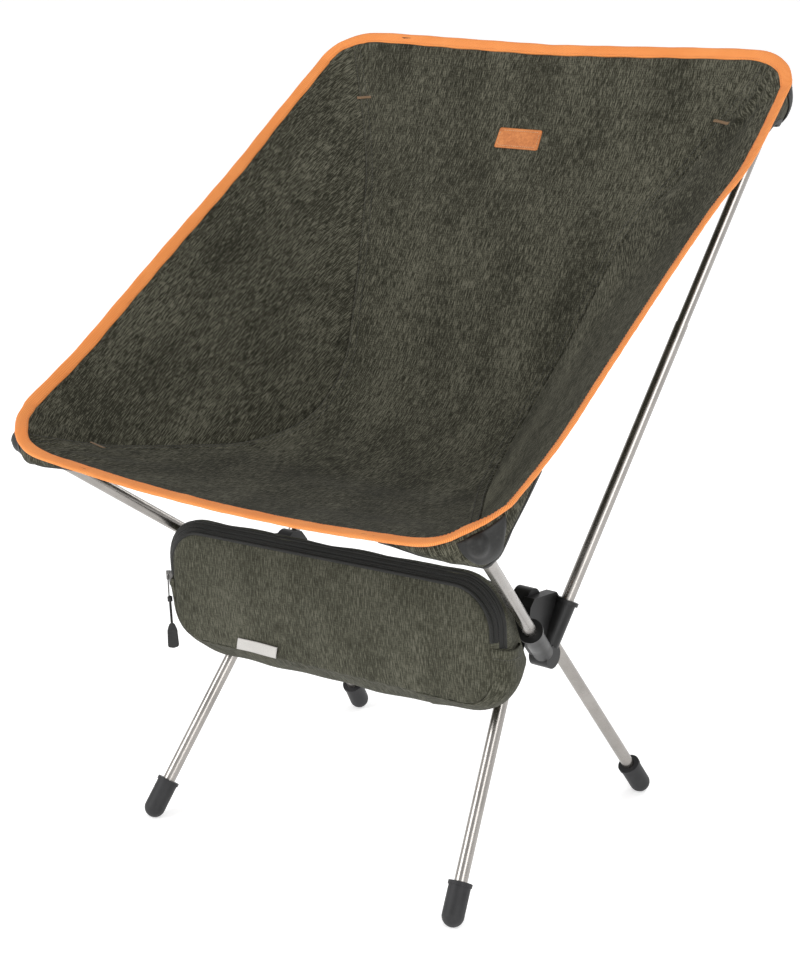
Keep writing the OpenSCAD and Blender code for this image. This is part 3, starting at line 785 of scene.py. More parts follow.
def build_label_stitches():
    """Four rows of thread just inside the label's edge."""
    half_x, half_y = LABEL_SIZE[0] / 2 - LABEL_STITCH_IN, LABEL_SIZE[1] / 2 - LABEL_STITCH_IN
    outline = np.array([(-half_x, -half_y), (half_x, -half_y), (half_x, half_y), (-half_x, half_y),
                        (-half_x, -half_y)])
    rows = []
    for start, end in zip(outline[:-1], outline[1:]):
        t = np.linspace(0, 1, 60)[:, None]
        line = start + (end - start) * t
        points, up = on_centre_panel(line[:, 0] + LABEL_X, line[:, 1], 1.85 * MM * np.ones(len(line)))
        rows.append(stitch_row(points, up, pitch=2.3 * MM, length=1.6 * MM))
    stitches = stitch_mesh("label_stitches", *joined_rows(rows), 0.24 * MM, TAN_THREAD)


def build_bartacks():
    """Four dense bars of thread across the seams, near the corners."""
    starts, ends, ups = [], [], []
    for q in (0.9, 8.4):
        for distance in np.arange(-3.5, 13.5, 0.62) * MM:
            middle, up = seam_line(np.array([distance]), np.array([q]))
            after, _ = seam_line(np.array([distance]), np.array([q + 0.03]))
            along = unit(after - middle)
            middle = middle + up * 1.35 * MM
            lean = 0.25 * MM * (-1) ** len(starts)
            start = middle - along * (1.5 * MM + lean)
            end = middle + along * (1.5 * MM - lean)
            for way in (np.ones(3), FLIP):
                starts.append(start[0] * way)
                ends.append(end[0] * way)
                ups.append(up[0] * way)
    piece = stitch_mesh("bartacks", starts, ends, ups, 0.42 * MM, BROWN_THREAD)


# ---- Corner pockets ----
# Each is a triangle of cloth sewn to the edge binding round a corner. Its free edge passes under the pole
# at its point UNDER_POLE.

FRONT_FREE_EDGE = [(154.6, -237.5, 343.5), (179.6, -233, 340), (201, -229, 338.5), (214, -216, 333),
                   (221.7, -203, 328), (231, -199.5, 336), (236, -197, 347), (238, -192, 357),
                   (240, -178, 373), (242.5, -163, 393)]
BACK_FREE_EDGE = [(150, 229.5, 648), (176, 234, 634), (200, 238, 616), (212, 235, 602), (218.6, 227.5, 595),
                  (228, 221, 596), (236, 205, 600), (243, 180, 601), (247, 155, 593)]
UNDER_POLE = 4
POCKET_T = 1.1 * MM
POCKET_TAPE = np.array([(-4.4, 0.0), (-4.2, 1.0), (-3, 1.25), (-0.5, 1.3), (1.0, 1.1), (1.7, 0.0),
                        (1.0, -1.1), (-0.5, -1.3), (-3, -1.25), (-4.2, -1.0)]) * MM
POLE_APEX = (141, 6.5, 172)


def front_top_line():
    """The two stretches of binding that a front pocket is sewn to, from the front edge to the rim."""
    u = np.linspace(0.695, 1, 60)
    return centre_at(np.zeros_like(u), u), rim_at(np.linspace(0, 1.58, 80))


def back_top_line():
    """The same for a back pocket."""
    u = np.linspace(0.66, 1, 60)
    return centre_at(np.full_like(u, LAST), u), rim_at(np.linspace(LAST, 7.35, 80))


def clear_of_pole(points, tip, way, radius):
    """Moves points outward to the given distance from the pole's axis, which starts at its tip."""
    along = np.maximum(((points - tip) * way).sum(-1, keepdims=True), 0)
    away = points - (tip + along * way)
    distance = np.linalg.norm(away, axis=-1, keepdims=True)
    short = np.maximum(radius - distance, 0)
    return points + unit(away) * short


def pocket_surface(top_line, free_edge, tip, outward):
    """Points, normals and cloth coordinates of a left pocket, laid over the pole and slightly rucked."""
    tip = np.array(tip) * MM
    way = unit(np.array(POLE_APEX) * MM - tip)
    free = np.array(free_edge) * MM
    before = smooth_line(free[:UNDER_POLE + 1], 34)
    after = smooth_line(free[UNDER_POLE:], 34)
    bottom = np.concatenate([before, after[1:]])
    first, second = top_line
    top = np.concatenate([even(first, 34), even(second, 34)[1:]])
    p = np.linspace(0, 1, len(bottom))[:, None, None]
    q = np.linspace(0, 1, 26)[None, :, None]
    outward = unit(outward)
    belly = 17 * MM * np.sin(math.pi * p) ** 1.5
    control = (top + bottom)[:, None] / 2 + belly * outward
    points = (1 - q) ** 2 * top[:, None] + 2 * q * (1 - q) * control + q ** 2 * bottom[:, None]
    points = clear_of_pole(points, tip, way, 8.3 * MM)
    for _ in range(3):
        inner = (points[:-2, 1:-1] + points[2:, 1:-1] + points[1:-1, :-2] + points[1:-1, 2:]) / 4
        points[1:-1, 1:-1] = inner
        points = clear_of_pole(points, tip, way, 7.9 * MM)
    ruck = np.sin(p * 46 + 5 * q) * np.sin(math.pi * q) * np.sin(math.pi * p) ** 2
    normals = facing(normals_of(points), outward)
    points = points + normals * 0.5 * MM * ruck
    width = np.linalg.norm(bottom - top, axis=1)
    uvs = np.stack(np.broadcast_arrays(arc_lengths(top)[:, None], q[..., 0] * width[:, None]), -1)
    return points, normals, uvs


def build_pocket(corner, surface, mirror):
    """Web, bound edge and leather cap of one corner."""
    points, normals, uvs = surface
    side, flip = side_of(mirror)
    points, normals = points * flip, normals * flip
    web = mesh_piece(f"corner_web_{corner}_{side}", points.reshape(-1, 3), grid_faces(*points.shape[:2]),
                     HEATHER, uvs.reshape(-1, 2))
    solidify(web, POCKET_T)
    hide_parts(f"pocket_{corner}_{side}")
    rim_path = points[:, -1]
    across = unit(points[:, -1] - points[:, -4])
    up = unit(np.cross(unit(np.gradient(rim_path, axis=0)), across))
    tape = sweep(f"corner_edge_{corner}_{side}", rim_path, across, up, POCKET_TAPE, BLACK_TAPE)
    build_pocket_leather(f"corner_leather_{corner}_{side}", points, normals)


def build_pocket_leather(name, points, normals):
    """Leather cap over the pole's tip, laid on the web and narrower at its lower end."""
    rows, cols = 30, 22
    lower = np.linspace(0, 1, cols)[None, :]
    sideways = np.linspace(-1, 1, rows)[:, None]
    half = 0.13 - 0.085 * lower ** 2
    p = (0.585 + sideways * half) * (points.shape[0] - 1)
    q = (0.10 + 0.84 * lower * (1 - 0.10 * sideways ** 2)) * (points.shape[1] - 1)

    def sample(values):
        i = np.clip(np.floor(p).astype(int), 0, values.shape[0] - 2)
        j = np.clip(np.floor(q).astype(int), 0, values.shape[1] - 2)
        fp, fq = (p - i)[..., None], (q - j)[..., None]
        return ((1 - fp) * (1 - fq) * values[i, j] + fp * (1 - fq) * values[i + 1, j]
                + (1 - fp) * fq * values[i, j + 1] + fp * fq * values[i + 1, j + 1])

    edge = np.minimum(np.minimum(1 - np.abs(sideways), 1.0), np.minimum(lower, 1 - lower) * 2)
    lift = 0.9 * MM + 0.8 * MM * smoothstep(edge / 0.22)
    made = sample(points) + unit(sample(normals)) * lift[..., None]
    uvs = np.stack(np.broadcast_arrays(sideways * 25 * MM, lower * 30 * MM), -1)
    piece = mesh_piece(name, made.reshape(-1, 3), grid_faces(rows, cols), BLACK_LEATHER, uvs.reshape(-1, 2))
    solidify(piece, 0.9 * MM, -1.0)


def build_pockets():
    surfaces = {
        "front": pocket_surface(front_top_line(), FRONT_FREE_EDGE, (228, -221.5, 352), (0.45, -0.65, -0.6)),
        "back": pocket_surface(back_top_line(), BACK_FREE_EDGE, (225, 234.5, 634), (0.25, 0.95, -0.1))}
    for mirror in (False, True):
        for corner, surface in surfaces.items():
            build_pocket(corner, surface, mirror)


# ---- Storage bag ----
# Drawn level, then hung a little askew. A ring is the bag's outline at one depth behind its front.

BAG_TILT = math.radians(2.3)
HINGE_Z = 222 * MM
BAG_FRONT = -113.5 * MM
BAG_DEPTH = 50 * MM
BEVEL = 9 * MM
BAND_WIDTH = 13 * MM
BAG_DEPTHS = (0, 9, 25, 50)
BAG_SLICES = np.array([[167, 167, 166, 262, 27, 33], [176, 176, 158, 271, 34, 38],
                       [175, 168, 146, 264, 42, 34], [166, 155, 156, 251, 34, 26]], float) * MM
FLAT_STEPS, ARC_STEPS, SIDE_STEPS = 84, 12, 14
UPPER_START = FLAT_STEPS + 2 * ARC_STEPS + SIDE_STEPS


def hung(points):
    """Tilts drawn points about the middle of the zip's ends."""
    x, y, z = points[..., 0], points[..., 1], points[..., 2] - HINGE_Z
    return np.stack([x * math.cos(BAG_TILT) - z * math.sin(BAG_TILT), y,
                     x * math.sin(BAG_TILT) + z * math.cos(BAG_TILT) + HINGE_Z], -1)


def bag_ring(depth, grow=0.0):
    """Closed outline at a depth in metres, from the lower corner at -X, counter-clockwise from the front."""
    low_half, high_half, low, high, low_r, high_r = keyed(BAG_SLICES, BAG_DEPTHS, depth / MM)
    low_half, high_half, low, high = low_half + grow, high_half + grow, low - grow, high + grow
    low_r, high_r = low_r + grow, high_r + grow
    across = np.linspace(-1, 1, FLAT_STEPS + 1)
    turn = np.linspace(0, math.pi / 2, ARC_STEPS + 1)[1:]
    climb = np.linspace(0, 1, SIDE_STEPS + 1)[1:]
    lower = np.stack([across * (low_half - low_r), np.full(FLAT_STEPS + 1, low)], -1)
    lower_arc = np.stack([low_half - low_r + low_r * np.sin(turn), low + low_r - low_r * np.cos(turn)], -1)
    side = np.stack([low_half + (high_half - low_half) * climb,
                     low + low_r + (high - high_r - low - low_r) * climb], -1)
    upper_arc = np.stack([high_half - high_r + high_r * np.cos(turn),
                          high - high_r + high_r * np.sin(turn)], -1)
    right = np.concatenate([lower_arc, side, upper_arc])
    upper = np.stack([-across[1:] * (high_half - high_r), np.full(FLAT_STEPS, high)], -1)
    left = (right * [-1, 1])[::-1][1:]
    flat = np.concatenate([lower, right, upper, left])
    # The lower side rises toward its end at the sitter's left.
    to_left = smoothstep((flat[:, 0] - 50 * MM) / (110 * MM))
    low_down = smoothstep((200 * MM - flat[:, 1]) / (40 * MM))
    flat[:, 1] += 7 * MM * min(depth / (22 * MM), 1) * to_left * low_down
    return np.stack([flat[:, 0], np.full(len(flat), BAG_FRONT + depth), flat[:, 1]], -1)


def panel_grid(ring):
    """A grid that fills a ring: its outer rows and columns are the ring itself."""
    right = ring[FLAT_STEPS:UPPER_START + 1]
    left = right * FLIP
    share = np.linspace(0, 1, FLAT_STEPS + 1)[None, :, None]
    return left[:, None] * (1 - share) + right[:, None] * share


def ripple(x, z, seed):
    """Soft upright undulation of unlined cloth."""
    return (np.sin(x * 150 + 2.5 * np.sin(z * 38 + seed)) * 0.6 + np.sin(x * 83 - z * 31 + 2 * seed) * 0.8
            + np.sin(x * 41 + z * 67 + seed) * 0.7)


def build_bag_panel(name, ring, bulge, ripple_size, seed, way, body):
    """A panel that fills a ring and bulges along way, +1 to the back or -1 to the front."""
    points = panel_grid(ring)
    x, z = points[..., 0], points[..., 2]
    middle_z = (ring[:, 2].min() + ring[:, 2].max()) / 2
    half_x, half_z = ring[:, 0].max(), (ring[:, 2].max() - ring[:, 2].min()) / 2
    inner = np.clip(1 - (np.abs(x) / half_x) ** 4, 0, 1)
    inner = inner * np.clip(1 - ((z - middle_z) / half_z) ** 2, 0, 1)
    points[..., 1] += way * (bulge * inner ** 0.7 + ripple_size * ripple(x, z, seed) * inner ** 0.5)
    uvs = np.stack([x, z], -1)
    points = hung(points)
    return mesh_piece(name, points.reshape(-1, 3), grid_faces(*points.shape[:2]), BAG_CLOTH,
                      uvs.reshape(-1, 2), body=body)


def outward_normals(points):
    """Normals of rings of points that face away from the bag's long axis or to the front."""
    along = np.roll(points, -1, axis=1) - np.roll(points, 1, axis=1)
    back = np.gradient(points, axis=0)
    normals = unit(np.cross(along, back))
    centre = np.array([0, BAG_FRONT + 30 * MM, 218 * MM])
    away = points - centre
    away[..., 0] *= 0.2
    return facing(normals, away)


def build_gusset():
    """The cloth round the bag, open along the top where the zip band lies."""
    depths = np.array([0, 0.8, 1.8, 3.2, 5, 6.5, 8.5, 11, 14, 18, 22, 26, 30, 34, 38, 42, 45, 47.5, 49.2,
                       50]) * MM
    rings = np.stack([bag_ring(d) for d in depths])
    normals = outward_normals(rings)
    x, z = rings[..., 0], rings[..., 2]
    d = np.broadcast_to(depths[:, None], x.shape)
    inner = smoothstep(d / (10 * MM)) * smoothstep((BAG_DEPTH - d) / (12 * MM))
    lower = smoothstep((215 * MM - z) / (40 * MM))
    pucker = 0.5 * MM * np.sin(x * 420 + 1.7 * np.sin(x * 57)) * np.exp(-(d / (5 * MM)) ** 2) * lower
    waves = (0.8 * MM * np.sin(x * 47 + d * 70 + 0.8) * np.sin(x * 19 - 1.1)
             + 0.4 * MM * np.sin(x * 110 - d * 120))
    soft = inner * smoothstep((165 * MM - np.abs(x)) / (50 * MM)) * waves
    crease = -0.8 * MM * np.exp(-(d / (0.9 * MM)) ** 2)
    rings = rings + normals * (pucker + soft + crease)[..., None]
    around = arc_lengths(np.vstack([rings[6], rings[6][:1]]))[:-1]
    uvs = np.stack(np.broadcast_arrays(around[None, :], d), -1)
    count = rings.shape[1]
    faces = [face for face in grid_faces(len(depths), count, close_cols=True)
             if not (face[0] // count < 5 and z.ravel()[list(face)].min() > 221 * MM)]
    piece = mesh_piece("bag_gusset", hung(rings).reshape(-1, 3), faces, BAG_CLOTH, uvs.reshape(-1, 2))
    drop_loose(piece)
    solidify(piece, 1.0 * MM, -1.0)
    return piece


def drop_loose(piece):
    """Removes the vertices that no face uses."""
    mesh = bmesh.new()
    mesh.from_mesh(piece.data)
    bmesh.ops.delete(mesh, geom=[v for v in mesh.verts if not v.link_faces], context="VERTS")
    mesh.to_mesh(piece.data)
    mesh.free()


def build_bag_cloth():
    """Front panel, gusset and back panel."""
    front = build_bag_panel("bag_front_panel", bag_ring(0.0), 4.5 * MM, 0.45 * MM, 1.0, -1, None)
    solidify(front, 1.0 * MM, 0.0)
    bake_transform(front)
    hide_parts("bag_flap")
    gusset = build_gusset()
    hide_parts("bag_shell")
    back = build_bag_panel("bag_back_panel", bag_ring(BAG_DEPTH), -2.0 * MM, 0.7 * MM, 2.3, 1, "frame")
    solidify(back, 1.0 * MM, 0.0)


# Height of the zip band above the bevel at each share of its width, in millimetres.
ZIP_FLAP_PROFILE = [(0.0, -0.4), (0.03, 0.5), (0.07, 1.3), (0.115, 1.75), (0.16, 1.5), (0.20, 0.7),
                    (0.225, 0.25), (0.255, 0.3), (0.28, 0.8), (0.32, 0.85), (0.345, 0.55), (0.37, 0.8),
                    (0.41, 0.85), (0.44, 0.6), (0.485, 0.75)]
ZIP_FIXED_PROFILE = [(0.515, 0.75), (0.56, 0.6), (0.59, 0.85), (0.63, 0.8), (0.655, 0.55), (0.68, 0.85),
                     (0.72, 0.8), (0.75, 0.3), (0.78, 0.25), (0.81, 0.9), (0.86, 1.35), (0.92, 1.45),
                     (0.97, 1.0), (1.0, 0.0), (1.03, -0.8)]


def zip_line(share, low_z):
    """The zip's run at a share of the bevel's width, from the left end over the top to the right end."""
    ring = bag_ring(BEVEL * share)
    upper = ring[ring[:, 2] > low_z]
    first = int(np.argmax(ring[:, 2] > low_z))
    below, above = ring[first - 1], ring[first]
    t = (low_z - below[2]) / (above[2] - below[2])
    start = below + (above - below) * t
    return even(np.vstack([start, upper, start * FLIP]), 300)


def zip_surface(profile, low_z):
    """Rows of points across the band, with the outward direction at each."""
    lines = np.stack([zip_line(share, low_z) for share, _ in profile])
    inner, outer = zip_line(0.0, low_z), zip_line(1.0, low_z)
    along = unit(np.gradient((inner + outer) / 2, axis=0))
    out = facing(unit(np.cross(along, unit(outer - inner))), (0, -1, 0))
    height = np.array([h for _, h in profile]) * MM
    return lines + out[None] * height[:, None, None], out


def build_zip_half(name, profile, low_z, body, cad_node):
    """One half of the zip band: piping or hem, then the stitched tape."""
    points, _ = zip_surface(profile, low_z)
    length = arc_lengths(points[len(profile) // 2])
    across = np.array([share for share, _ in profile]) * BAND_WIDTH
    uvs = np.stack(np.broadcast_arrays(length[None, :], across[:, None]), -1)
    piece = mesh_piece(name, hung(points).reshape(-1, 3), grid_faces(*points.shape[:2]), BLACK_TAPE,
                       uvs.reshape(-1, 2), body=body)
    solidify(piece, 0.7 * MM, -1.0)
    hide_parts(cad_node)


def build_coil(name, near, far, low_z, body, phase):
    """One row of coil turns, from the tape to just past the middle of the band."""
    points, out = zip_surface([(near, 0.95), (far, 0.95)], low_z)
    length = arc_lengths(points[0])
    at = np.arange(1 * MM + phase, length[-1] - 1 * MM, 1.7 * MM)
    start, end, up = (read_along(values, length, at) for values in (points[0], points[1], out))
    piece = stitch_mesh(name, hung(start), hung(end), up, 0.42 * MM, COIL, body=body)


def build_zip():
    """The band in two halves, each on its own body and ending near the hinge, and their coils."""
    build_zip_half("zip_band_flap", ZIP_FLAP_PROFILE, HINGE_Z - 1 * MM, "bag_door", "zip_tape_flap")
    build_zip_half("zip_band_fixed", ZIP_FIXED_PROFILE, HINGE_Z - 6 * MM, "frame", "zip_tape_fixed")
    build_coil("zip_coil_flap", 0.44, 0.515, HINGE_Z, "bag_door", 0.0)
    build_coil("zip_coil_fixed", 0.56, 0.485, HINGE_Z, "frame", 0.85 * MM)


# ---- Slider and pull ----

SLIDER_Z = 219 * MM
PIN_OUT = 5.6 * MM
BAG_HALF = 176 * MM


def pull_place(points):
    """From the pull's own axes to the frame: its origin on the pin, -Y out of the bevel."""
    x, y, z = np.moveaxis(np.asarray(points, float) * MM, -1, 0)
    y = y - PIN_OUT
    slant = math.sqrt(0.5)
    turned = np.stack([slant * (x + y), slant * (y - x), z], -1)
    return hung(turned + [BEVEL / 2 - BAG_HALF, BAG_FRONT + BEVEL / 2, SLIDER_Z])


def pull_tube(name, path, radius, material, up=(0, -1, 0)):
    """A round piece of the pull along a path in its own axes, in millimetres."""
    path = np.asarray(path, float)
    across, lift = path_frames(path, up)
    placed = pull_place(path)
    across = unit(pull_place(path + across) - placed)
    lift = unit(pull_place(path + lift) - placed)
    return sweep(name, placed, across, lift, round_section(radius * MM), material, body="zip_pull")


def build_pull():
    """Wire loop, cord and bead, then the tab."""
    angle = np.linspace(0, 2 * math.pi, 60, endpoint=False)
    ring = np.stack([2.4 * np.cos(angle), 0.5 * np.sin(angle) - 0.2, 1.6 * np.sin(angle) - 1.0], -1)
    down = np.minimum(np.sin(angle), 0)
    ring[:, 2] = np.where(down < 0, -1.0 + 20.0 * down * np.abs(down) ** 0.15, ring[:, 2])
    ring[:, 0] *= np.interp(ring[:, 2], (-21, -10, 0.6), (0.75, 1.0, 0.9))
    loop = pull_tube("pull_wire_loop", np.vstack([ring, ring[:1]]), 0.65, ZIP_METAL, up=(0.02, -1, 0.03))
    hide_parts("zip_puller")
    cord = pull_tube("pull_cord", [(0, 0, -19.5 - 1.5 * k) for k in range(20)], 1.15, BLACK_TAPE)
    bead = pull_tube("pull_bead", [(0, 0, z) for z in (-20.2, -21.0, -22.2, -23.4, -24.2)], 2.3, PULL_PLASTIC)
    build_tab()


def build_tab():
    """Flared moulded tab with grip ribs."""
    z = np.linspace(-45, -68, 47)
    share = (z + 45) / -23
    half_w = 2.6 + 1.6 * smoothstep(share * 3) + 0.9 * share
    half_w = half_w * np.sqrt(np.clip(1 - (2 * share - 1) ** 14, 0.02, 1))
    ribs = np.cos(share * math.pi * 2 * 7) * smoothstep(share * 4) * smoothstep((1 - share) * 4)
    half_t = 1.25 + 0.25 * ribs
    angle = np.linspace(0, 2 * math.pi, 20, endpoint=False)
    cos, sin = np.cos(angle), np.sin(angle)
    box_x = np.sign(cos) * np.abs(cos) ** 0.35
    box_y = np.sign(sin) * np.abs(sin) ** 0.5
    points = np.stack([half_t[:, None] * box_y, half_w[:, None] * box_x,
                       np.broadcast_to(z[:, None], (len(z), len(angle)))], -1)
    piece = mesh_piece("pull_tab", pull_place(points).reshape(-1, 3), capped_faces(len(z), len(angle)),
                       PULL_PLASTIC, body="zip_pull")


# ---- Bag trim ----

def patch_line(depth, top_z, grow):
    """The left half of a ring from a height on its side down to its lower flat, evenly spaced."""
    ring = bag_ring(depth, grow)
    half = ring[FLAT_STEPS - 14:FLAT_STEPS + ARC_STEPS + SIDE_STEPS + 1][::-1]
    z = half[:, 2]
    first = int(np.argmax(z < top_z))
    t = (top_z - z[first]) / (z[first - 1] - z[first])
    start = half[first] + (half[first - 1] - half[first]) * t
    return even(np.vstack([start, half[first:]]), 60)


CUP_DEPTH = 43 * MM


def build_end_patch(mirror):
    """Open-topped cup of cloth round one end of the bag, with a turned and stitched top hem."""
    depths = np.linspace(0.4 * MM, CUP_DEPTH, 26)
    lines = np.stack([patch_line(d, HINGE_Z - 5 * MM - 0.25 * d, 0.0) for d in depths])
    rows, cols = lines.shape[:2]
    normals = facing(normals_of(lines), (1, -0.3, -0.4))
    length = arc_lengths(lines[rows // 2])
    down = np.broadcast_to(length[None, :], (rows, cols))
    deep = np.broadcast_to(depths[:, None], (rows, cols))
    fade = smoothstep(deep / (2.5 * MM)) * smoothstep((CUP_DEPTH - deep) / (3 * MM))
    fade = fade * smoothstep((length[-1] - down) / (5 * MM))
    hem = 0.9 * MM * smoothstep((8 * MM - down) / (1.0 * MM))
    flare = 2.2 * MM * np.exp(-(down / (14 * MM)) ** 2) * np.sin(math.pi * deep / CUP_DEPTH)
    wave = 0.35 * MM * np.sin(down * 150 + deep * 60) * np.sin(deep * 90 + 0.5)
    lift = 0.9 * MM + fade * (0.9 * MM + hem + flare + wave)
    points = lines + normals * lift[..., None]
    stitch_points = points[:, np.searchsorted(length, 6.6 * MM)] + normals[:, 3] * 0.6 * MM
    side, flip = side_of(mirror)
    uvs = np.stack([deep, down], -1) + [0.2, 0.4 + 0.3 * mirror]
    piece = mesh_piece(f"bag_end_cup_{side}", hung(points * flip).reshape(-1, 3), grid_faces(rows, cols),
                       BAG_CLOTH, uvs.reshape(-1, 2))
    solidify(piece, 0.9 * MM, 0.0)
    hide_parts(f"bag_end_patch_{side}")
    row = stitch_row(hung(stitch_points * flip), normals[:, 3] * flip, pitch=2.6 * MM, length=1.8 * MM)
    stitches = stitch_mesh(f"bag_end_stitches_{side}", *row, 0.22 * MM, DARK_THREAD)


def build_tag():
    """Blank woven tag sewn into the bottom seam."""
    share = np.linspace(0, 1, 24)[None, :]
    rise = np.linspace(0, 1, 10)[:, None]
    x = (-95.5 + 44 * share + 5 * rise - 2) * MM
    z = (165.6 + 11.8 * rise + 0.3 * np.sin(share * 5)) * MM
    y = BAG_FRONT - (1.4 + 3.2 * rise ** 0.7 + 0.3 * np.sin(share * 7) * rise) * MM
    points = np.stack(np.broadcast_arrays(x, y, z), -1)
    uvs = np.stack(np.broadcast_arrays(x, z), -1)
    piece = mesh_piece("bag_woven_tag", hung(points).reshape(-1, 3), grid_faces(10, 24), TAG_WEAVE,
                       uvs.reshape(-1, 2))
    solidify(piece, 0.7 * MM, 0.0)
    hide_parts("bag_tag")


CROSSBAR_Y, CROSSBAR_Z = -1.5, 212
LOOP_FROM, LOOP_MIDDLE, LOOP_TO = 77, 94.5, 112


def build_loop(mirror):
    """Crumpled cloth loop from the bag's back round the crossbar, drawn in millimetres."""
    turn = np.linspace(-100, 100, 30) * math.pi / 180
    around = np.stack([CROSSBAR_Y + 8.2 * np.cos(turn), CROSSBAR_Z + 1.0 + 8.2 * np.sin(turn)], -1)
    start = np.stack([np.linspace(-64.5, -6, 26), np.linspace(207, 204.2, 26)], -1)
    end = np.stack([np.linspace(-6, -64.5, 26), np.linspace(221.4, 217, 26)], -1)
    line = np.concatenate([start, around, end])
    length = arc_lengths(line)
    x = np.linspace(LOOP_FROM, LOOP_TO, 22)
    share = length / length[-1]
    out = unit(np.stack([line[:, 0] + 30, line[:, 1] - CROSSBAR_Z], -1))
    ends = smoothstep(share * 8) * smoothstep((1 - share) * 8)
    grid_x, grid_s = np.meshgrid(x, share)
    crumple = (1.5 * np.sin(grid_x * 0.52 + 9 * grid_s) + 1.2 * np.sin(grid_x * 0.27 - 21 * grid_s + 1)
               + 0.8 * np.sin(grid_x * 0.9 + 33 * grid_s))
    lift = (np.abs(crumple) * 0.9 + 0.3) * ends[:, None]
    y = line[:, :1] + out[:, :1] * lift
    z = line[:, 1:] + out[:, 1:] * lift
    shrink = 1 - 0.10 * np.sin(math.pi * grid_s * 3) ** 2
    wide = LOOP_MIDDLE + (grid_x - LOOP_MIDDLE) * shrink
    points = np.stack([wide, y, z], -1) * MM
    side, flip = side_of(mirror)
    uvs = np.stack([grid_x * MM, np.broadcast_to(length[:, None] * MM, grid_x.shape)], -1)
    piece = mesh_piece(f"bag_hanging_loop_{side}", (points * flip).reshape(-1, 3),
                       grid_faces(len(line), len(x)), BAG_CLOTH, uvs.reshape(-1, 2))
    solidify(piece, 1.0 * MM, 0.0)
    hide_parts(f"bag_loop_{side}")


def build_bag():
    build_bag_cloth()
    build_zip()
    build_pull()
    for mirror in (False, True):
        build_end_patch(mirror)
        build_loop(mirror)
    build_tag()


# ---- Hard parts ----

def finish_node(name, material, bevel=0.0):
    """A CAD node that keeps its shape, with its material and slightly rounded edges."""
    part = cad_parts[name]
    part.data.materials.clear()
    part.data.materials.append(material)
    if bevel:
        edge = part.modifiers.new("edges", "BEVEL")
        edge.width = bevel
        edge.segments = 3
        edge.limit_method = "ANGLE"
        edge.angle_limit = math.radians(40)
        edge.harden_normals = True


SIDES = ("left", "right")
LEGS = ("front_left", "front_right", "rear_left", "rear_right")


def finish_hard_parts():
    for side in SIDES:
        finish_node("hub_" + side, NYLON, 0.8 * MM)
        for pole in ("seat_pole_", "back_pole_lower_", "back_pole_upper_"):
            finish_node(pole + side, TUBE)
    for leg in LEGS:
        finish_node("leg_" + leg, TUBE)
        finish_node("foot_" + leg, RUBBER, 0.5 * MM)
        finish_node("plug_" + leg, PLUG_PLASTIC)
        finish_node("cord_" + leg, CORD)
    finish_node("crossbar", TUBE)
    finish_node("crossbar_rivets", BRIGHT, 0.4 * MM)
    finish_node("back_pole_ferrules", BRIGHT)
    finish_node("seat_pole_caps", CAP_PLASTIC)
    finish_node("back_pole_caps", CAP_PLASTIC)
    finish_node("seat_pole_cords", CORD)
    finish_node("back_pole_cords", CORD)
    finish_node("zip_slider", ZIP_METAL, 0.5 * MM)


# ---- Camera, light and floor ----

def build_camera():
    """The closing view: slightly above, from the chair's front left."""
    azimuth, elevation, roll = (math.radians(a) for a in (36.85, 17.09, -0.54))
    target = Vector((0.0028, -0.0090, 0.3050))
    distance = 1.6398
    back = Vector((math.sin(azimuth) * math.cos(elevation), -math.cos(azimuth) * math.cos(elevation),
                   math.sin(elevation)))
    right = Vector((math.cos(azimuth), math.sin(azimuth), 0))
    up = back.cross(right)
    rolled_right = math.cos(roll) * right + math.sin(roll) * up
    rolled_up = -math.sin(roll) * right + math.cos(roll) * up
    camera = bpy.data.cameras.new("camera")
    camera.lens = 72.1
    camera.sensor_width = 36.0
    holder = bpy.data.objects.new("camera", camera)
    bpy.context.scene.collection.objects.link(holder)
    turn = Matrix((rolled_right, rolled_up, back)).transposed().to_4x4()
    holder.matrix_world = Matrix.Translation(target + back * distance) @ turn
    bpy.context.scene.camera = holder


def build_floor():
    """Pale floor with a faint glow of its own, like a lit studio table."""
    size = 12.0
    mesh = bpy.data.meshes.new("floor")
    corners = [(-size, -size, 0), (size, -size, 0), (size, size, 0), (-size, size, 0)]
    mesh.from_pydata(corners, [], [(0, 1, 2, 3)])
    material, _, shader = blank_material("pale_floor", (0.93, 0.93, 0.93), 0.7)
    shader.inputs["Emission Color"].default_value = (1, 1, 1, 1)
    shader.inputs["Emission Strength"].default_value = 0.42
    mesh.materials.append(material)
    floor = bpy.data.objects.new("floor", mesh)
    bpy.context.scene.collection.objects.link(floor)


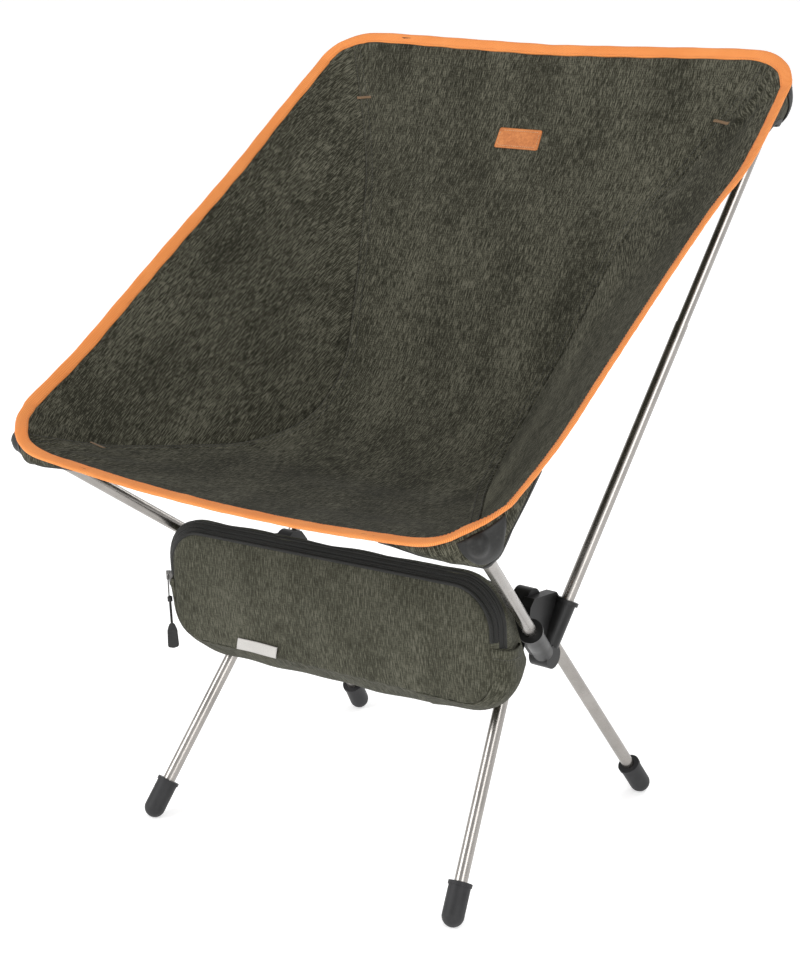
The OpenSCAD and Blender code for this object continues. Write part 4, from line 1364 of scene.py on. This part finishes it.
def area_light(name, location, aim, size, power):
    light = bpy.data.lights.new(name, "AREA")
    light.shape = "RECTANGLE"
    light.size, light.size_y = size
    light.energy = power
    holder = bpy.data.objects.new(name, light)
    holder.location = location
    holder.rotation_mode = "QUATERNION"
    holder.rotation_quaternion = (Vector(aim) - Vector(location)).to_track_quat("-Z", "Y")
    bpy.context.scene.collection.objects.link(holder)


def build_light():
    """A dome that is brighter near the horizon and on the camera's side, and three soft lights."""
    world = bpy.data.worlds.new("studio")
    world.use_nodes = True
    tree = world.node_tree
    where = node(tree, "ShaderNodeTexCoord").outputs["Generated"]
    height = node(tree, "ShaderNodeSeparateXYZ", {0: where}).outputs["Z"]
    level = node(tree, "ShaderNodeMapRange", {"Value": height, "From Min": 0.0, "From Max": 1.0,
                                              "To Min": 1.15, "To Max": 0.5}).outputs["Result"]
    side = node(tree, "ShaderNodeVectorMath", {0: where, 1: (0.6, -0.8, 0.0)},
                operation="DOT_PRODUCT").outputs["Value"]
    share = node(tree, "ShaderNodeMapRange", {"Value": side, "From Min": -0.35, "From Max": 0.45,
                                              "To Min": 0.82, "To Max": 1.0},
                 interpolation_type="SMOOTHSTEP").outputs["Result"]
    level = math_node(tree, "MULTIPLY", level, share)
    background = tree.nodes["Background"]
    background.inputs["Color"].default_value = (1.0, 1.0, 1.0, 1)
    tree.links.new(level, background.inputs["Strength"])
    bpy.context.scene.world = world
    middle = (0, 0, 0.35)
    area_light("key", (-1.3, -2.0, 1.3), middle, (1.2, 1.4), 30)
    area_light("fill", (2.2, -1.2, 1.1), middle, (1.0, 1.6), 20)
    area_light("back", (0.4, 2.2, 1.8), middle, (1.6, 1.0), 16)
    bpy.context.scene.view_settings.view_transform = "Standard"


build_camera()
build_light()
build_floor()
finish_hard_parts()
build_centre_panel()
build_side_panel("sling_side_left_cloth", "sling_side_left", False)
build_side_panel("sling_side_right_cloth", "sling_side_right", True)
build_binding_stitches(*build_binding())
build_seam_stitches()
build_label()
build_bartacks()
build_pockets()
build_bag()
